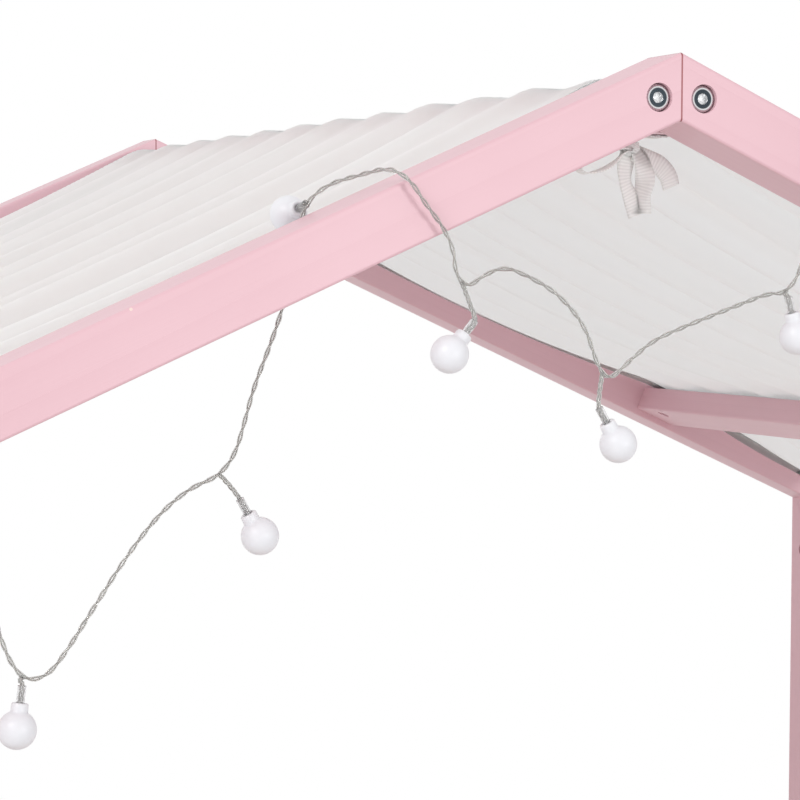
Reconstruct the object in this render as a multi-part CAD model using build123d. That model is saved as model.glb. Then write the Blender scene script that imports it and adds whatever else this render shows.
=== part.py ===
# Canopy bed: a gabled timber frame with a slatted base, a cloth roof and a string of globe lights.
# Millimetres. X runs along the bed's length, Y from the front to the back, Z up from the floor.
import os
from math import cos, pi, radians, sin, tan

from build123d import *

# Mattress and the room left round it
mattress_length = 1200
mattress_width = 800
mattress_end_gap = 5
mattress_side_gap = 7

# Posts and roof timbers
post_size = 36
apex_height = 1320
roof_pitch = 24
rafter_width = 30
ridge_width = 40
ridge_height = 22
purlin_width = 38
purlin_thickness = 20
purlin_x = 450
edge_radius = 1.5

# Rails and spindles
rail_thickness = 22
rail_height = 100
rail_bottom = 110
top_rail_height = 40
top_rail_bottom = 480
spindle_diameter = 16
spindle_socket_depth = 12
end_spindle_count = 10
rear_spindle_count = 16

# Slatted base
slat_count = 10
slat_width = 65
slat_thickness = 14
slat_end_clearance = 1.5
slat_spread = 1040
ledger_width = 20
ledger_height = 22
ledger_length = 1120
ledger_top = 150

# Feet
glide_diameter = 24
glide_height = 4
glide_edge_radius = 1
glide_pin_diameter = 5
glide_pin_length = 12

# Bolts, nuts, inserts, dowels and screws
bolt_diameter = 6
bolt_hole_diameter = 6.5
bolt_end_gap = 1
head_diameter = 13
head_height = 4
head_chamfer = 1.5
head_recess = 1.2
head_hole_diameter = 14
hex_across_flats = 5
hex_depth = 3
frame_bolt_length = 70
ridge_bolt_length = 50
ridge_bolt_x = 12.2
nut_diameter = 10
nut_length = 14
nut_setback = 8
nut_slot_width = 1.6
insert_diameter = 9
insert_length = 15
thread_clearance = 0.05
bore_clearance = 0.1
dowel_diameter = 8
dowel_length = 30
dowel_chamfer = 1
post_dowel_spacing = 20
purlin_fixing_spacing = 19
side_bolt_spacing = 60
end_bolt_spacing = 30
top_fixing_spacing = 18
top_dowel_depth = 12
slat_screw_diameter = 3.5
slat_screw_length = 25
ledger_screw_diameter = 4
ledger_screw_length = 35
screw_head_ratio = 2

# Cloth roof and its tapes
cloth_thickness = 1.2
cloth_rafter_gap = 9
cloth_seat_gap = 0.3
half_folds = 23
fold_at_beams = 2
fold_in_span = 3.5
cloth_sag = 12
hem_x = 598
hem_drop = 14
outer_span_drop = 11.5
tape_width = 10
tape_thickness = 1
tape_clearance = 0.3
ridge_tie_inset = 19
knot_radius = 5
corner_tie_height = 1000
tail_length = 32

# Light string
wire_diameter = 2.6
globe_diameter = 18
globe_wall = 1
collar_diameter = 8
collar_length = 4
sleeve_diameter = 4
sleeve_length = 9
sleeve_gap = 0.9
branch_diameter = 2.4
led_diameter = 5
led_length = 8
led_setback = 10
led_clearance = 0.2

# Battery case
case_pad_thickness = 1.2
case_pad_inset = 3
case_top_z = 962
case_wall = 2
chamber_height = 8
cell_diameter = 14.5
cell_length = 50.5
cell_gap = 0.4
nib_diameter = 5.5
nib_length = 1
contact_size = 9
contact_thickness = 0.5
spring_diameter = 6
spring_length = 4
cover_thickness = 1.6
cover_clearance = 0.3
cover_groove = 1
cover_lip = 0.9
grip_count = 4
grip_pitch = 3
grip_size = 1.2
grip_length = 12
switch_width = 12
switch_height = 5
switch_depth = 6
switch_travel = 4
knob_width = 4
knob_height = 2.8
knob_proud = 1.4
stem_width = 2
stem_height = 1.4
stem_length = 2
knob_clearance = 0.3
grommet_diameter = 6
grommet_height = 3

# Places worked out from the sizes above
inner_x = mattress_length / 2 + mattress_end_gap
inner_y = mattress_width / 2 + mattress_side_gap
outer_x = inner_x + post_size
outer_y = inner_y + post_size
post_x = inner_x + post_size / 2
post_y = inner_y + post_size / 2
slope = radians(roof_pitch)
head_depth = head_height + head_recess
batten_drop = (rafter_width - purlin_thickness) / 2
rail_top = rail_bottom + rail_height
rail_middle = rail_bottom + rail_height / 2
top_rail_top = top_rail_bottom + top_rail_height
top_rail_middle = top_rail_bottom + top_rail_height / 2
rail_inner_y = post_y - rail_thickness / 2
ledger_inner_y = rail_inner_y - ledger_width
ledger_middle_y = rail_inner_y - ledger_width / 2
slat_half_length = rail_inner_y - slat_end_clearance
slat_top = ledger_top + slat_thickness
sides = (-1, 1)
corners = [(side, end) for side in sides for end in sides]
side_names = {-1: "left", 1: "right"}
end_names = {-1: "front", 1: "rear"}
up = Vector(0, 0, 1)


def roof_z(x, drop=0.0):
    # height of the plane that lies drop below the rafters' top faces, square to the slope
    return apex_height - abs(x) * tan(slope) - drop / cos(slope)


def down_slope(side):
    return Vector(side * cos(slope), 0, -sin(slope))


def roof_normal(side):
    return Vector(side * sin(slope), 0, cos(slope))


ridge_top = roof_z(ridge_width / 2, batten_drop)
ridge_bottom = ridge_top - ridge_height


def place(shape, point, direction):
    # stand a shape made along +Z on a point, with +Z turned to the direction
    return Plane(origin=point, z_dir=direction).location * shape


def rod(point, direction, diameter, length):
    rod_shape = Cylinder(diameter / 2, length, align=(Align.CENTER, Align.CENTER, Align.MIN))
    return place(rod_shape, point, direction)


def block(x_range, y_range, z_range):
    ranges = (x_range, y_range, z_range)
    size = [high - low for low, high in ranges]
    middle = [(high + low) / 2 for low, high in ranges]
    return Pos(*middle) * Box(*size)


def about(middle, size):
    return middle - size / 2, middle + size / 2


def eased(bar, direction):
    # round the long edges of a bar
    along = [edge for edge in bar.edges() if abs(abs(edge.tangent_at(0.5).dot(direction)) - 1) < 1e-6]
    return fillet(along, edge_radius)


def upright_prism(outline, y_front, y_back):
    # a bar whose outline is drawn in X and Z and runs from front to back
    face = make_face(Polyline(*[(x, y_front, z) for x, z in outline], close=True))
    return extrude(face, amount=y_back - y_front, dir=(0, 1, 0))


def group(shapes):
    return Compound(children=[shape.solid() for shape in shapes])


def cut_all(body, tools):
    for tool in tools:
        body = body - tool
    return body


# Where the fixings sit. Each is the point under a bolt's head, or a dowel's middle, and the outward way.
def ridge_seats():
    z = roof_z(ridge_bolt_x, rafter_width / 2)
    return [(Vector(side * ridge_bolt_x, end * (outer_y - head_depth), z), Vector(0, end, 0))
            for side, end in corners]


def purlin_point(side, along):
    centre = Vector(side * purlin_x, 0, roof_z(purlin_x, rafter_width / 2))
    return centre + down_slope(side) * along


def purlin_seats():
    lift = -purlin_fixing_spacing / 2
    return [(purlin_point(side, lift) + Vector(0, end * (outer_y - head_depth), 0), Vector(0, end, 0))
            for side, end in corners]


def purlin_dowels():
    return [(purlin_point(side, purlin_fixing_spacing / 2) + Vector(0, end * inner_y, 0), Vector(0, end, 0))
            for side, end in corners]


def post_seats():
    z = roof_z(post_x + head_hole_diameter / 2) - head_depth
    return [(Vector(side * post_x, end * post_y, z), up) for side, end in corners]


def post_dowels():
    z = roof_z(post_x, rafter_width)
    return [(Vector(side * post_x, end * post_y + shift * post_dowel_spacing / 2, z), up)
            for side, end in corners for shift in sides]


def side_rail_seats():
    return [(Vector(side * (outer_x - head_depth), end * post_y, rail_middle + step * side_bolt_spacing / 2),
             Vector(side, 0, 0)) for side, end in corners for step in sides]


def end_rail_seats():
    return [(Vector(side * post_x, end * (outer_y - head_depth), rail_middle + step * end_bolt_spacing / 2),
             Vector(0, end, 0)) for side, end in corners for step in sides]


def end_top_seats():
    z = top_rail_middle - top_fixing_spacing / 2
    return [(Vector(side * post_x, end * (outer_y - head_depth), z), Vector(0, end, 0))
            for side, end in corners]


def rear_top_seats():
    z = top_rail_middle + top_fixing_spacing / 2
    return [(Vector(side * (outer_x - head_depth), post_y, z), Vector(side, 0, 0)) for side in sides]


def end_top_dowels():
    y = inner_y + top_dowel_depth - dowel_length / 2
    z = top_rail_middle + top_fixing_spacing / 2
    return [(Vector(side * post_x, end * y, z), Vector(0, end, 0)) for side, end in corners]


def rear_top_dowels():
    x = inner_x + top_dowel_depth - dowel_length / 2
    z = top_rail_middle - top_fixing_spacing / 2
    return [(Vector(side * x, post_y, z), Vector(side, 0, 0)) for side in sides]


def towards_middle_x(point):
    return Vector(-1 if point.X > 0 else 1, 0, 0)


def towards_middle_y(point):
    return Vector(0, -1 if point.Y > 0 else 1, 0)


def under_roof(point):
    return -roof_normal(1 if point.X > 0 else -1)


def nuts_for(seats, open_way):
    # each nut's middle, the way to its open face and its bolt's way
    return [(seat - out * (frame_bolt_length - nut_setback), open_way(seat), out) for seat, out in seats]


def near(entries, side, end=0):
    # the fixings on one side of the bed, and at one end of it where end is given
    return [entry for entry in entries if entry[0].X * side > 0 and entry[0].Y * end >= 0]


def at_end(entries, end):
    return [entry for entry in entries if entry[0].Y * end > 0]


# Fasteners
def furniture_bolt(length):
    head = Cylinder(head_diameter / 2, head_height, align=(Align.CENTER, Align.CENTER, Align.MIN))
    head = chamfer(head.edges().group_by(Axis.Z)[-1], head_chamfer)
    socket = extrude(RegularPolygon(hex_across_flats / 2, 6, major_radius=False), amount=hex_depth)
    head = head - Pos(0, 0, head_height - hex_depth) * socket
    return head + Pos(0, 0, -length / 2) * Cylinder(bolt_diameter / 2, length)


def bolts_at(seats, length):
    bolt = furniture_bolt(length)
    return [place(bolt, seat, out) for seat, out in seats]


def bolt_hole(seat, out, length):
    # clearance hole along the shank and a pocket that lets the head in
    reach = length + bolt_end_gap
    shank = rod(seat - out * reach, out, bolt_hole_diameter, reach)
    return shank + rod(seat, out, head_hole_diameter, head_depth + head_hole_diameter)


def barrel_nut(centre, open_way, bolt_way):
    nut = rod(centre - open_way * (nut_length / 2), open_way, nut_diameter, nut_length)
    thread = rod(centre - bolt_way * nut_diameter, bolt_way, bolt_diameter + thread_clearance * 2, nut_diameter * 2)
    slot_frame = Plane(origin=centre + open_way * (nut_length / 2), x_dir=bolt_way, z_dir=open_way)
    slot = slot_frame.location * Box(nut_diameter * 2, nut_slot_width, nut_slot_width)
    return nut - thread - slot


def nut_hole(centre, open_way, reach):
    # bored from the face that lies reach away from the nut's middle
    depth = nut_length / 2 + bore_clearance
    return rod(centre - open_way * depth, open_way, nut_diameter + bore_clearance * 2, depth + reach)


def threaded_insert(seat, out):
    foot = seat + out * (inner_y - abs(seat.Y) - insert_length)
    sleeve = rod(foot, out, insert_diameter, insert_length)
    return sleeve - rod(foot, out, bolt_diameter + thread_clearance * 2, insert_length)


def insert_hole(seat, out):
    foot = seat + out * (inner_y - abs(seat.Y) - insert_length)
    return rod(foot, out, insert_diameter + bore_clearance * 2, insert_length)


def dowel(centre, out):
    pin = Cylinder(dowel_diameter / 2, dowel_length)
    rims = pin.edges().group_by(Axis.Z)
    return place(chamfer(rims[0] + rims[-1], dowel_chamfer), centre, out)


def dowel_hole(centre, out):
    hole = Cylinder(dowel_diameter / 2 + bore_clearance, dowel_length + bore_clearance * 2)
    return place(hole, centre, out)


def screw_outline(diameter, length, growth):
    head_radius = diameter * screw_head_ratio / 2 + growth
    radius = diameter / 2 + growth
    shoulder = -(head_radius - radius)
    return Polyline((0, 0), (head_radius, 0), (radius, shoulder), (radius, -(length - diameter)),
                    (0, -(length + growth)), close=True)


def wood_screw(diameter, length):
    # countersunk head level with z = 0, point downwards
    body = revolve(Plane.XZ * make_face(screw_outline(diameter, length, 0)), Axis.Z)
    recess = Box(diameter, diameter / 4, diameter / 2) + Box(diameter / 4, diameter, diameter / 2)
    return body - recess


def screw_hole(diameter, length):
    return revolve(Plane.XZ * make_face(screw_outline(diameter, length, bore_clearance)), Axis.Z)


def bolt_holes(seats, length):
    return [bolt_hole(seat, out, length) for seat, out in seats]


def dowel_holes(entries):
    return [dowel_hole(centre, out) for centre, out in entries]


def nut_holes(nuts, reach):
    return [nut_hole(centre, open_way, reach) for centre, open_way, _ in nuts]


# Frame timbers
def post(side, end):
    outline = [(side * inner_x, glide_height), (side * outer_x, glide_height),
               (side * outer_x, roof_z(outer_x, rafter_width)), (side * inner_x, roof_z(inner_x, rafter_width))]
    body = eased(upright_prism(outline, *about(end * post_y, post_size)), up)
    pin_hole = rod((side * post_x, end * post_y, glide_height), up, glide_pin_diameter + bore_clearance * 2,
                   glide_pin_length + bore_clearance)
    seats = post_seats() + side_rail_seats() + end_rail_seats() + end_top_seats() + rear_top_seats()
    dowels = post_dowels() + end_top_dowels() + rear_top_dowels()
    tools = bolt_holes(near(seats, side, end), frame_bolt_length)
    tools += dowel_holes(near(dowels, side, end))
    tools += nut_holes(near(nuts_for(post_seats(), towards_middle_x), side, end), post_size / 2)
    return cut_all(body, tools + [pin_hole])


def rafter(side, end):
    outline = [(0, roof_z(0)), (side * outer_x, roof_z(outer_x)),
               (side * outer_x, roof_z(outer_x, rafter_width)), (0, roof_z(0, rafter_width))]
    body = eased(upright_prism(outline, *about(end * post_y, post_size)), down_slope(side))
    tools = bolt_holes(near(ridge_seats(), side, end), ridge_bolt_length)
    tools += bolt_holes(near(purlin_seats() + post_seats(), side, end), frame_bolt_length)
    tools += dowel_holes(near(purlin_dowels() + post_dowels(), side, end))
    return cut_all(body, tools)


def ridge_beam():
    body = block(about(0, ridge_width), about(0, inner_y * 2), (ridge_bottom, ridge_top))
    tools = bolt_holes(ridge_seats(), ridge_bolt_length)
    tools += [insert_hole(seat, out) for seat, out in ridge_seats()]
    return cut_all(eased(body, Vector(0, 1, 0)), tools)


def purlin(side):
    frame = Plane(origin=purlin_point(side, 0), x_dir=down_slope(side), z_dir=(0, side, 0))
    body = eased(frame.location * Box(purlin_width, purlin_thickness, inner_y * 2), Vector(0, 1, 0))
    tools = bolt_holes(near(purlin_seats(), side), frame_bolt_length)
    tools += dowel_holes(near(purlin_dowels(), side))
    tools += nut_holes(near(nuts_for(purlin_seats(), under_roof), side), purlin_thickness / 2)
    return cut_all(body, tools)


def spindle_places(count, half_span):
    pitch = half_span * 2 / (count + 1)
    return [-half_span + pitch * (index + 1) for index in range(count)]


end_spindle_places = spindle_places(end_spindle_count, inner_y)
rear_spindle_places = spindle_places(rear_spindle_count, inner_x)


def spindle_socket(x, y, mouth_z, way):
    return rod((x, y, mouth_z - way * spindle_socket_depth), (0, 0, way), spindle_diameter + bore_clearance * 2,
               spindle_socket_depth)


def spindle(x, y):
    length = top_rail_bottom - rail_top + spindle_socket_depth * 2
    return rod((x, y, rail_top - spindle_socket_depth), up, spindle_diameter, length)


slat_pitch = slat_spread / (slat_count - 1)
slat_places = [-slat_spread / 2 + slat_pitch * index for index in range(slat_count)]
ledger_screw_places = [x + slat_pitch / 2 for x in slat_places[:-1:2]]


def ledger_screw_place(x, end):
    return Plane(origin=(x, end * ledger_inner_y, ledger_top - ledger_height / 2), z_dir=(0, -end, 0)).location


def slat_screw_place(x, end):
    return Pos(x, end * ledger_middle_y, slat_top)


def ledger_screw_holes(end):
    hole = screw_hole(ledger_screw_diameter, ledger_screw_length)
    return [ledger_screw_place(x, end) * hole for x in ledger_screw_places]


def slat_screw_holes(places, ends):
    hole = screw_hole(slat_screw_diameter, slat_screw_length)
    return [slat_screw_place(x, end) * hole for x in places for end in ends]


def side_rail(end):
    body = block(about(0, inner_x * 2), about(end * post_y, rail_thickness), (rail_bottom, rail_top))
    seats = at_end(side_rail_seats(), end)
    tools = bolt_holes(seats, frame_bolt_length)
    tools += nut_holes(nuts_for(seats, towards_middle_y), rail_thickness / 2)
    tools += ledger_screw_holes(end)
    if end > 0:
        tools += [spindle_socket(x, post_y, rail_top, 1) for x in rear_spindle_places]
    return cut_all(eased(body, Vector(1, 0, 0)), tools)


def end_rail(side):
    body = block(about(side * post_x, rail_thickness), about(0, inner_y * 2), (rail_bottom, rail_top))
    seats = near(end_rail_seats(), side)
    tools = bolt_holes(seats, frame_bolt_length)
    tools += nut_holes(nuts_for(seats, towards_middle_x), rail_thickness / 2)
    tools += [spindle_socket(side * post_x, y, rail_top, 1) for y in end_spindle_places]
    return cut_all(eased(body, Vector(0, 1, 0)), tools)


def end_top_rail(side):
    body = block(about(side * post_x, rail_thickness), about(0, inner_y * 2), (top_rail_bottom, top_rail_top))
    seats = near(end_top_seats(), side)
    tools = bolt_holes(seats, frame_bolt_length) + dowel_holes(near(end_top_dowels(), side))
    tools += nut_holes(nuts_for(seats, towards_middle_x), rail_thickness / 2)
    tools += [spindle_socket(side * post_x, y, top_rail_bottom, -1) for y in end_spindle_places]
    return cut_all(eased(body, Vector(0, 1, 0)), tools)


def rear_top_rail():
    body = block(about(0, inner_x * 2), about(post_y, rail_thickness), (top_rail_bottom, top_rail_top))
    tools = bolt_holes(rear_top_seats(), frame_bolt_length) + dowel_holes(rear_top_dowels())
    tools += nut_holes(nuts_for(rear_top_seats(), towards_middle_y), rail_thickness / 2)
    tools += [spindle_socket(x, post_y, top_rail_bottom, -1) for x in rear_spindle_places]
    return cut_all(eased(body, Vector(1, 0, 0)), tools)


# Slatted base
def slat_ledger(end):
    y_range = sorted((end * ledger_inner_y, end * rail_inner_y))
    body = block(about(0, ledger_length), y_range, (ledger_top - ledger_height, ledger_top))
    tools = ledger_screw_holes(end) + slat_screw_holes(slat_places, [end])
    return cut_all(eased(body, Vector(1, 0, 0)), tools)


def slat(x):
    body = block(about(x, slat_width), about(0, slat_half_length * 2), (ledger_top, slat_top))
    return cut_all(eased(body, Vector(0, 1, 0)), slat_screw_holes([x], sides))


def base_screws():
    slat_screw = wood_screw(slat_screw_diameter, slat_screw_length)
    ledger_screw = wood_screw(ledger_screw_diameter, ledger_screw_length)
    screws = [slat_screw_place(x, end) * slat_screw for x in slat_places for end in sides]
    return screws + [ledger_screw_place(x, end) * ledger_screw for x in ledger_screw_places for end in sides]


def glide(side, end):
    pad = rod((side * post_x, end * post_y, 0), up, glide_diameter, glide_height)
    pad = fillet(pad.edges().group_by(Axis.Z)[0], glide_edge_radius)
    return pad + rod((side * post_x, end * post_y, glide_height), up, glide_pin_diameter, glide_pin_length)


# Cloth roof: one sheet over the ridge and both purlins, with folds that run down the slopes
def fold_edges():
    # where each fold starts in Y and how high it stands, as uneven as gathered cloth
    widths = [1 + 0.28 * sin(2.1 * index + 0.4) for index in range(half_folds)]
    heights = [1 - 0.35 * (1 + sin(1.7 * index + 1.2)) / 2 for index in range(half_folds)]
    half = inner_y - cloth_rafter_gap
    marks = [-half]
    for width in widths:
        marks.append(marks[-1] + width * 2 * half / sum(widths))
    return marks, [height if index % 2 == 0 else -height for index, height in enumerate(heights)]


fold_marks, fold_heights = fold_edges()


def cloth_section(x, z, tilt, fold):
    # closed outline of the sheet where it crosses one line from front to back
    def at(y, height):
        return Vector(x + sin(tilt) * height, y, z + cos(tilt) * height)

    def wave(lift):
        arcs = []
        for start, finish, height in zip(fold_marks, fold_marks[1:], fold_heights):
            crown = at((start + finish) / 2, lift + height * fold)
            arcs.append(Edge.make_three_point_arc(at(start, lift), crown, at(finish, lift)))
        return arcs

    half = cloth_thickness / 2
    ends = [Edge.make_line(at(mark, -half), at(mark, half)) for mark in (fold_marks[0], fold_marks[-1])]
    return Wire.combine(wave(-half) + wave(half) + ends)[0]


def cloth_stations():
    # X, Z, tilt and fold height from the ridge to the right-hand hem
    lift = cloth_seat_gap + cloth_thickness / 2 + fold_at_beams
    corner = ridge_width / 2
    stations = [(0, ridge_top + lift, 0, fold_at_beams),
                (corner + lift * tan(slope / 2), ridge_top + lift, slope / 2, fold_at_beams)]
    upper = purlin_point(1, -purlin_width / 2) + roof_normal(1) * (purlin_thickness / 2 + lift)
    lower = purlin_point(1, purlin_width / 2) + roof_normal(1) * (purlin_thickness / 2 + lift)
    for share in (0.15, 0.32, 0.5, 0.68, 0.85):
        x = corner + share * (upper.X - corner)
        drop = batten_drop - lift + cloth_sag * 4 * share * (1 - share)
        stations.append((x, roof_z(x, drop), slope, fold_in_span))
    stations += [(upper.X, upper.Z, slope, fold_at_beams), (lower.X, lower.Z, slope, fold_at_beams)]
    middle = (lower.X + hem_x) / 2
    stations += [(middle, roof_z(middle, outer_span_drop), slope, fold_in_span),
                 (hem_x, roof_z(hem_x, hem_drop), slope, fold_in_span)]
    return stations


def canopy_cloth():
    right = cloth_stations()
    left = [(-x, z, -tilt, fold) for x, z, tilt, fold in right[:0:-1]]
    return loft([Face(cloth_section(*station)) for station in left + right], ruled=True)


def tape_loop(outline):
    # a thin closed strip bent round an outline in X and Z
    outer = make_face(Polyline(*outline, close=True))
    inner = offset(outer, -tape_thickness, kind=Kind.INTERSECTION)
    return Plane.XZ.location * extrude(outer - inner, amount=tape_width / 2, both=True)


def tape_strip(start, finish):
    # a flat length of tape between two points, its width along Y
    run = Vector(*finish) - Vector(*start)
    frame = Plane(origin=start, x_dir=(0, 1, 0), z_dir=run)
    return frame.location * Box(tape_width, tape_thickness, run.length, align=(Align.CENTER, Align.CENTER, Align.MIN))


def ridge_tie(end):
    # tape sewn under the sheet, taken round the ridge beam and tied in a bow beneath it
    inside = ridge_width / 2 + tape_clearance
    outside = inside + tape_thickness
    low = ridge_bottom - tape_clearance
    wrap = block((-outside, outside), about(0, tape_width), (low - tape_thickness, ridge_top - tape_clearance * 2))
    wrap = wrap - block((-inside, inside), about(0, tape_width * 2), (low, apex_height))
    knot_z = low - tape_thickness - knot_radius * 0.8
    knot = Pos(0, 0, knot_z) * Sphere(knot_radius)
    loop = tape_loop([(-3, knot_z), (-17, knot_z), (-28, knot_z - 6), (-27, knot_z - 12), (-16, knot_z - 11)])
    tail = tape_strip((2, 0, knot_z), (8, 0, knot_z - tail_length))
    spare = tape_strip((3, 0, knot_z), (3 + tail_length * 0.8, 0, knot_z - tail_length * 0.45))
    return Pos(0, end * (inner_y - ridge_tie_inset), 0) * (wrap + knot + loop + tail + spare)


def corner_tie(side, end):
    # tape from the hem's corner round the top of the post
    inside = post_size + tape_clearance * 2
    outside = inside + tape_thickness * 2
    band = block(about(side * post_x, outside), about(end * post_y, outside), about(corner_tie_height, tape_width))
    band = band - block(about(side * post_x, inside), about(end * post_y, inside), (0, apex_height))
    knot_inset = tape_clearance + tape_thickness + knot_radius / 2
    knot_point = (side * (inner_x - knot_inset), end * (inner_y - knot_inset), corner_tie_height)
    hem_z = roof_z(hem_x, hem_drop) - cloth_thickness / 2 - fold_in_span - cloth_seat_gap
    hem_point = (side * (hem_x - 2), end * (inner_y - cloth_rafter_gap - tape_width / 2), hem_z)
    tie = band + Pos(*knot_point) * Sphere(knot_radius) + tape_strip(knot_point, hem_point)
    for lean in (2, 14):
        foot = (knot_point[0] - side * lean, knot_point[1] - end * 4, corner_tie_height - tail_length)
        tie = tie + tape_strip(knot_point, foot)
    return tie


# Battery case on the front left post, open at the front and bottom of its bay for the sliding cover
bay_width = cell_diameter * 2 + cell_gap * 3
bay_height = cell_length + spring_length + contact_thickness * 2
case_back = -inner_x + case_pad_thickness
groove_back = case_back + case_wall + cell_diameter + cell_gap * 2
groove_front = groove_back + cover_thickness + cover_clearance * 2
case_front = groove_front + cover_lip
case_width = bay_width + case_wall * 2
chamber_floor = case_top_z - case_wall - chamber_height
chamber_middle = chamber_floor + chamber_height / 2
bay_roof = chamber_floor - case_wall
bay_floor = bay_roof - bay_height
case_bottom = bay_floor - case_wall
switch_front = case_front - case_wall
cell_x = case_back + case_wall + cell_gap + cell_diameter / 2
cell_offset = (cell_diameter + cell_gap) / 2
wire_exit = (cell_x, -post_y, case_top_z + grommet_height)


def battery_case():
    y_range = about(-post_y, case_width)
    bay_y = about(-post_y, bay_width)
    body = eased(block((case_back, case_front), y_range, (case_bottom, case_top_z)), up)
    bay = block((case_back + case_wall, groove_back), bay_y, (bay_floor, bay_roof))
    groove = block((groove_back, groove_front), about(-post_y, bay_width + cover_groove * 2), (0, bay_roof))
    window = block((groove_front, case_front + case_wall), bay_y, (0, bay_roof))
    chamber = block((case_back + case_wall, switch_front), bay_y, (chamber_floor, case_top_z - case_wall))
    slot = block((switch_front - case_wall, case_front + case_wall),
                 about(-post_y, knob_width + switch_travel + knob_clearance * 2),
                 about(chamber_middle, knob_height + knob_clearance * 2))
    return cut_all(body, [bay, groove, window, chamber, slot])


def battery_cover():
    back = groove_back + cover_clearance
    front = back + cover_thickness
    body = block((back, front), about(-post_y, bay_width + (cover_groove - cover_clearance) * 2),
                 (case_bottom, bay_roof - cover_clearance))
    for index in range(grip_count):
        z = case_bottom + grip_pitch * (index + 2)
        body = body + block((back, front + cover_lip / 2), about(-post_y, grip_length), about(z, grip_size))
    return body


def cell_places():
    # each cell's place across the bay and the way that its raised end points
    return [(-post_y + way * cell_offset, way) for way in sides]


def stack_point(y, way, offset):
    start = bay_floor if way > 0 else bay_roof
    return Vector(cell_x, y, start + way * offset)


def battery_cell(y, way):
    base = contact_thickness + spring_length
    can = rod(stack_point(y, way, base), (0, 0, way), cell_diameter, cell_length - nib_length)
    nib = rod(stack_point(y, way, base + cell_length - nib_length), (0, 0, way), nib_diameter, nib_length)
    return can + nib


def cell_contacts(y, way):
    plate = Box(contact_size, contact_size, contact_thickness, align=(Align.CENTER, Align.CENTER, Align.MIN))
    sprung = place(plate, stack_point(y, way, 0), (0, 0, way))
    sprung = sprung + rod(stack_point(y, way, contact_thickness), (0, 0, way), spring_diameter, spring_length)
    flat = place(plate, stack_point(y, way, bay_height - contact_thickness), (0, 0, way))
    return [sprung, flat]


def switch_body():
    body = block((switch_front - switch_depth, switch_front), about(-post_y, switch_width),
                 about(chamber_middle, switch_height))
    slot = block((switch_front - stem_length - knob_clearance, switch_front),
                 about(-post_y, stem_width + switch_travel + knob_clearance * 2),
                 about(chamber_middle, stem_height + knob_clearance * 2))
    return body - slot


def light_switch_knob():
    y = -post_y - switch_travel / 2
    cap = block((switch_front + knob_clearance, case_front + knob_proud), about(y, knob_width),
                about(chamber_middle, knob_height))
    stem = block((switch_front - stem_length, switch_front + knob_clearance), about(y, stem_width),
                 about(chamber_middle, stem_height))
    return cap + stem


def case_pad():
    return block((-inner_x, case_back), about(-post_y, case_width - case_pad_inset * 2),
                 (case_bottom + case_pad_inset, case_top_z - case_pad_inset))


# Light string: up behind the left front rafter, over it, in swags across the gable and over the right one
wire_points = [
    wire_exit, (cell_x, -post_y, 977), (-592, -420, 992.5), (-588, -410, 1009),
    (-582, -402, 1027), (-575.5, -402.5, 1048), (-568, -402, 1068), (-556, -405, 1083),
    (-537, -417, 1091), (-510, -426, 1098.5), (-480, -428.5, 1111), (-450, -424.5, 1123.5),
    (-421, -427, 1137), (-396, -422, 1149), (-376, -412, 1159.5), (-361, -402, 1162),
    (-353, -402, 1149), (-348, -402.5, 1129), (-340.5, -402.5, 1106.5), (-334, -402.5, 1084),
    (-328, -402.5, 1064.5), (-324, -402.5, 1049), (-319.5, -402.5, 1037), (-312.5, -402.5, 1028),
    (-302.5, -402.5, 1029), (-293.5, -402.5, 1039.5), (-280, -402.5, 1060), (-264.5, -402.5, 1083),
    (-249, -402.5, 1102), (-234, -402.5, 1113.5), (-221, -402.5, 1118), (-212.5, -402.5, 1127.5),
    (-208, -402.5, 1142), (-203, -402.5, 1160), (-195.5, -402.5, 1178), (-189, -402.5, 1196),
    (-184, -402.5, 1214), (-181, -402, 1231), (-178, -403, 1246), (-169, -410, 1255),
    (-159, -424, 1258.5), (-151, -439, 1262), (-144.5, -449.5, 1256.5), (-136.5, -449.5, 1245),
    (-127, -448.5, 1234.5), (-121.5, -448, 1224), (-119.5, -448, 1212.5), (-110.5, -448, 1206.5),
    (-98, -448, 1210.5), (-85, -448, 1210.5), (-72, -448, 1203.5), (-60, -448, 1192.5),
    (-52, -448, 1181), (-49, -448, 1169.5), (-40, -448, 1163.5), (-28, -448, 1168),
    (-12, -448, 1180), (8, -448, 1192.5), (28, -448, 1200), (43, -448, 1204),
    (55.5, -448, 1204.5), (63.5, -448, 1213.5), (66.5, -448.5, 1228), (70, -449, 1247),
    (75.5, -449.5, 1267), (83, -449.5, 1287), (92, -440, 1292), (102, -424, 1285),
    (110.5, -408, 1280), (118, -401.5, 1269), (121.5, -402.5, 1250), (126, -402.5, 1229),
    (132, -402.5, 1207), (140, -402.5, 1187), (150, -402.5, 1172), (162, -402.5, 1165.5),
    (175, -402.5, 1167.5), (189, -402.5, 1174), (206, -402.5, 1178), (222, -402.5, 1183),
    (233, -402.5, 1194), (239.5, -402, 1210), (248, -403.5, 1222.5), (260, -415, 1217),
    (270, -431, 1212.5), (279.5, -447.5, 1206.5), (286, -450, 1190), (290.5, -449, 1170),
    (295, -448.5, 1152), (298, -448.5, 1135),
]
# Each light: the wire point that its lead leaves from and the middle of its globe
light_places = [
    (23, (-316.5, -404, 1006)), (30, (-200, -403, 1090)), (38, (-178.6, -382, 1241.2)), (47, (-124.2, -450, 1176)),
    (54, (-35.8, -449, 1132.6)), (60, (62.9, -448, 1183.4)), (69, (143, -388, 1262)), (75, (165, -404, 1129)),
    (82, (268, -388, 1199.5)), (89, (302, -450, 1099)),
]


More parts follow.
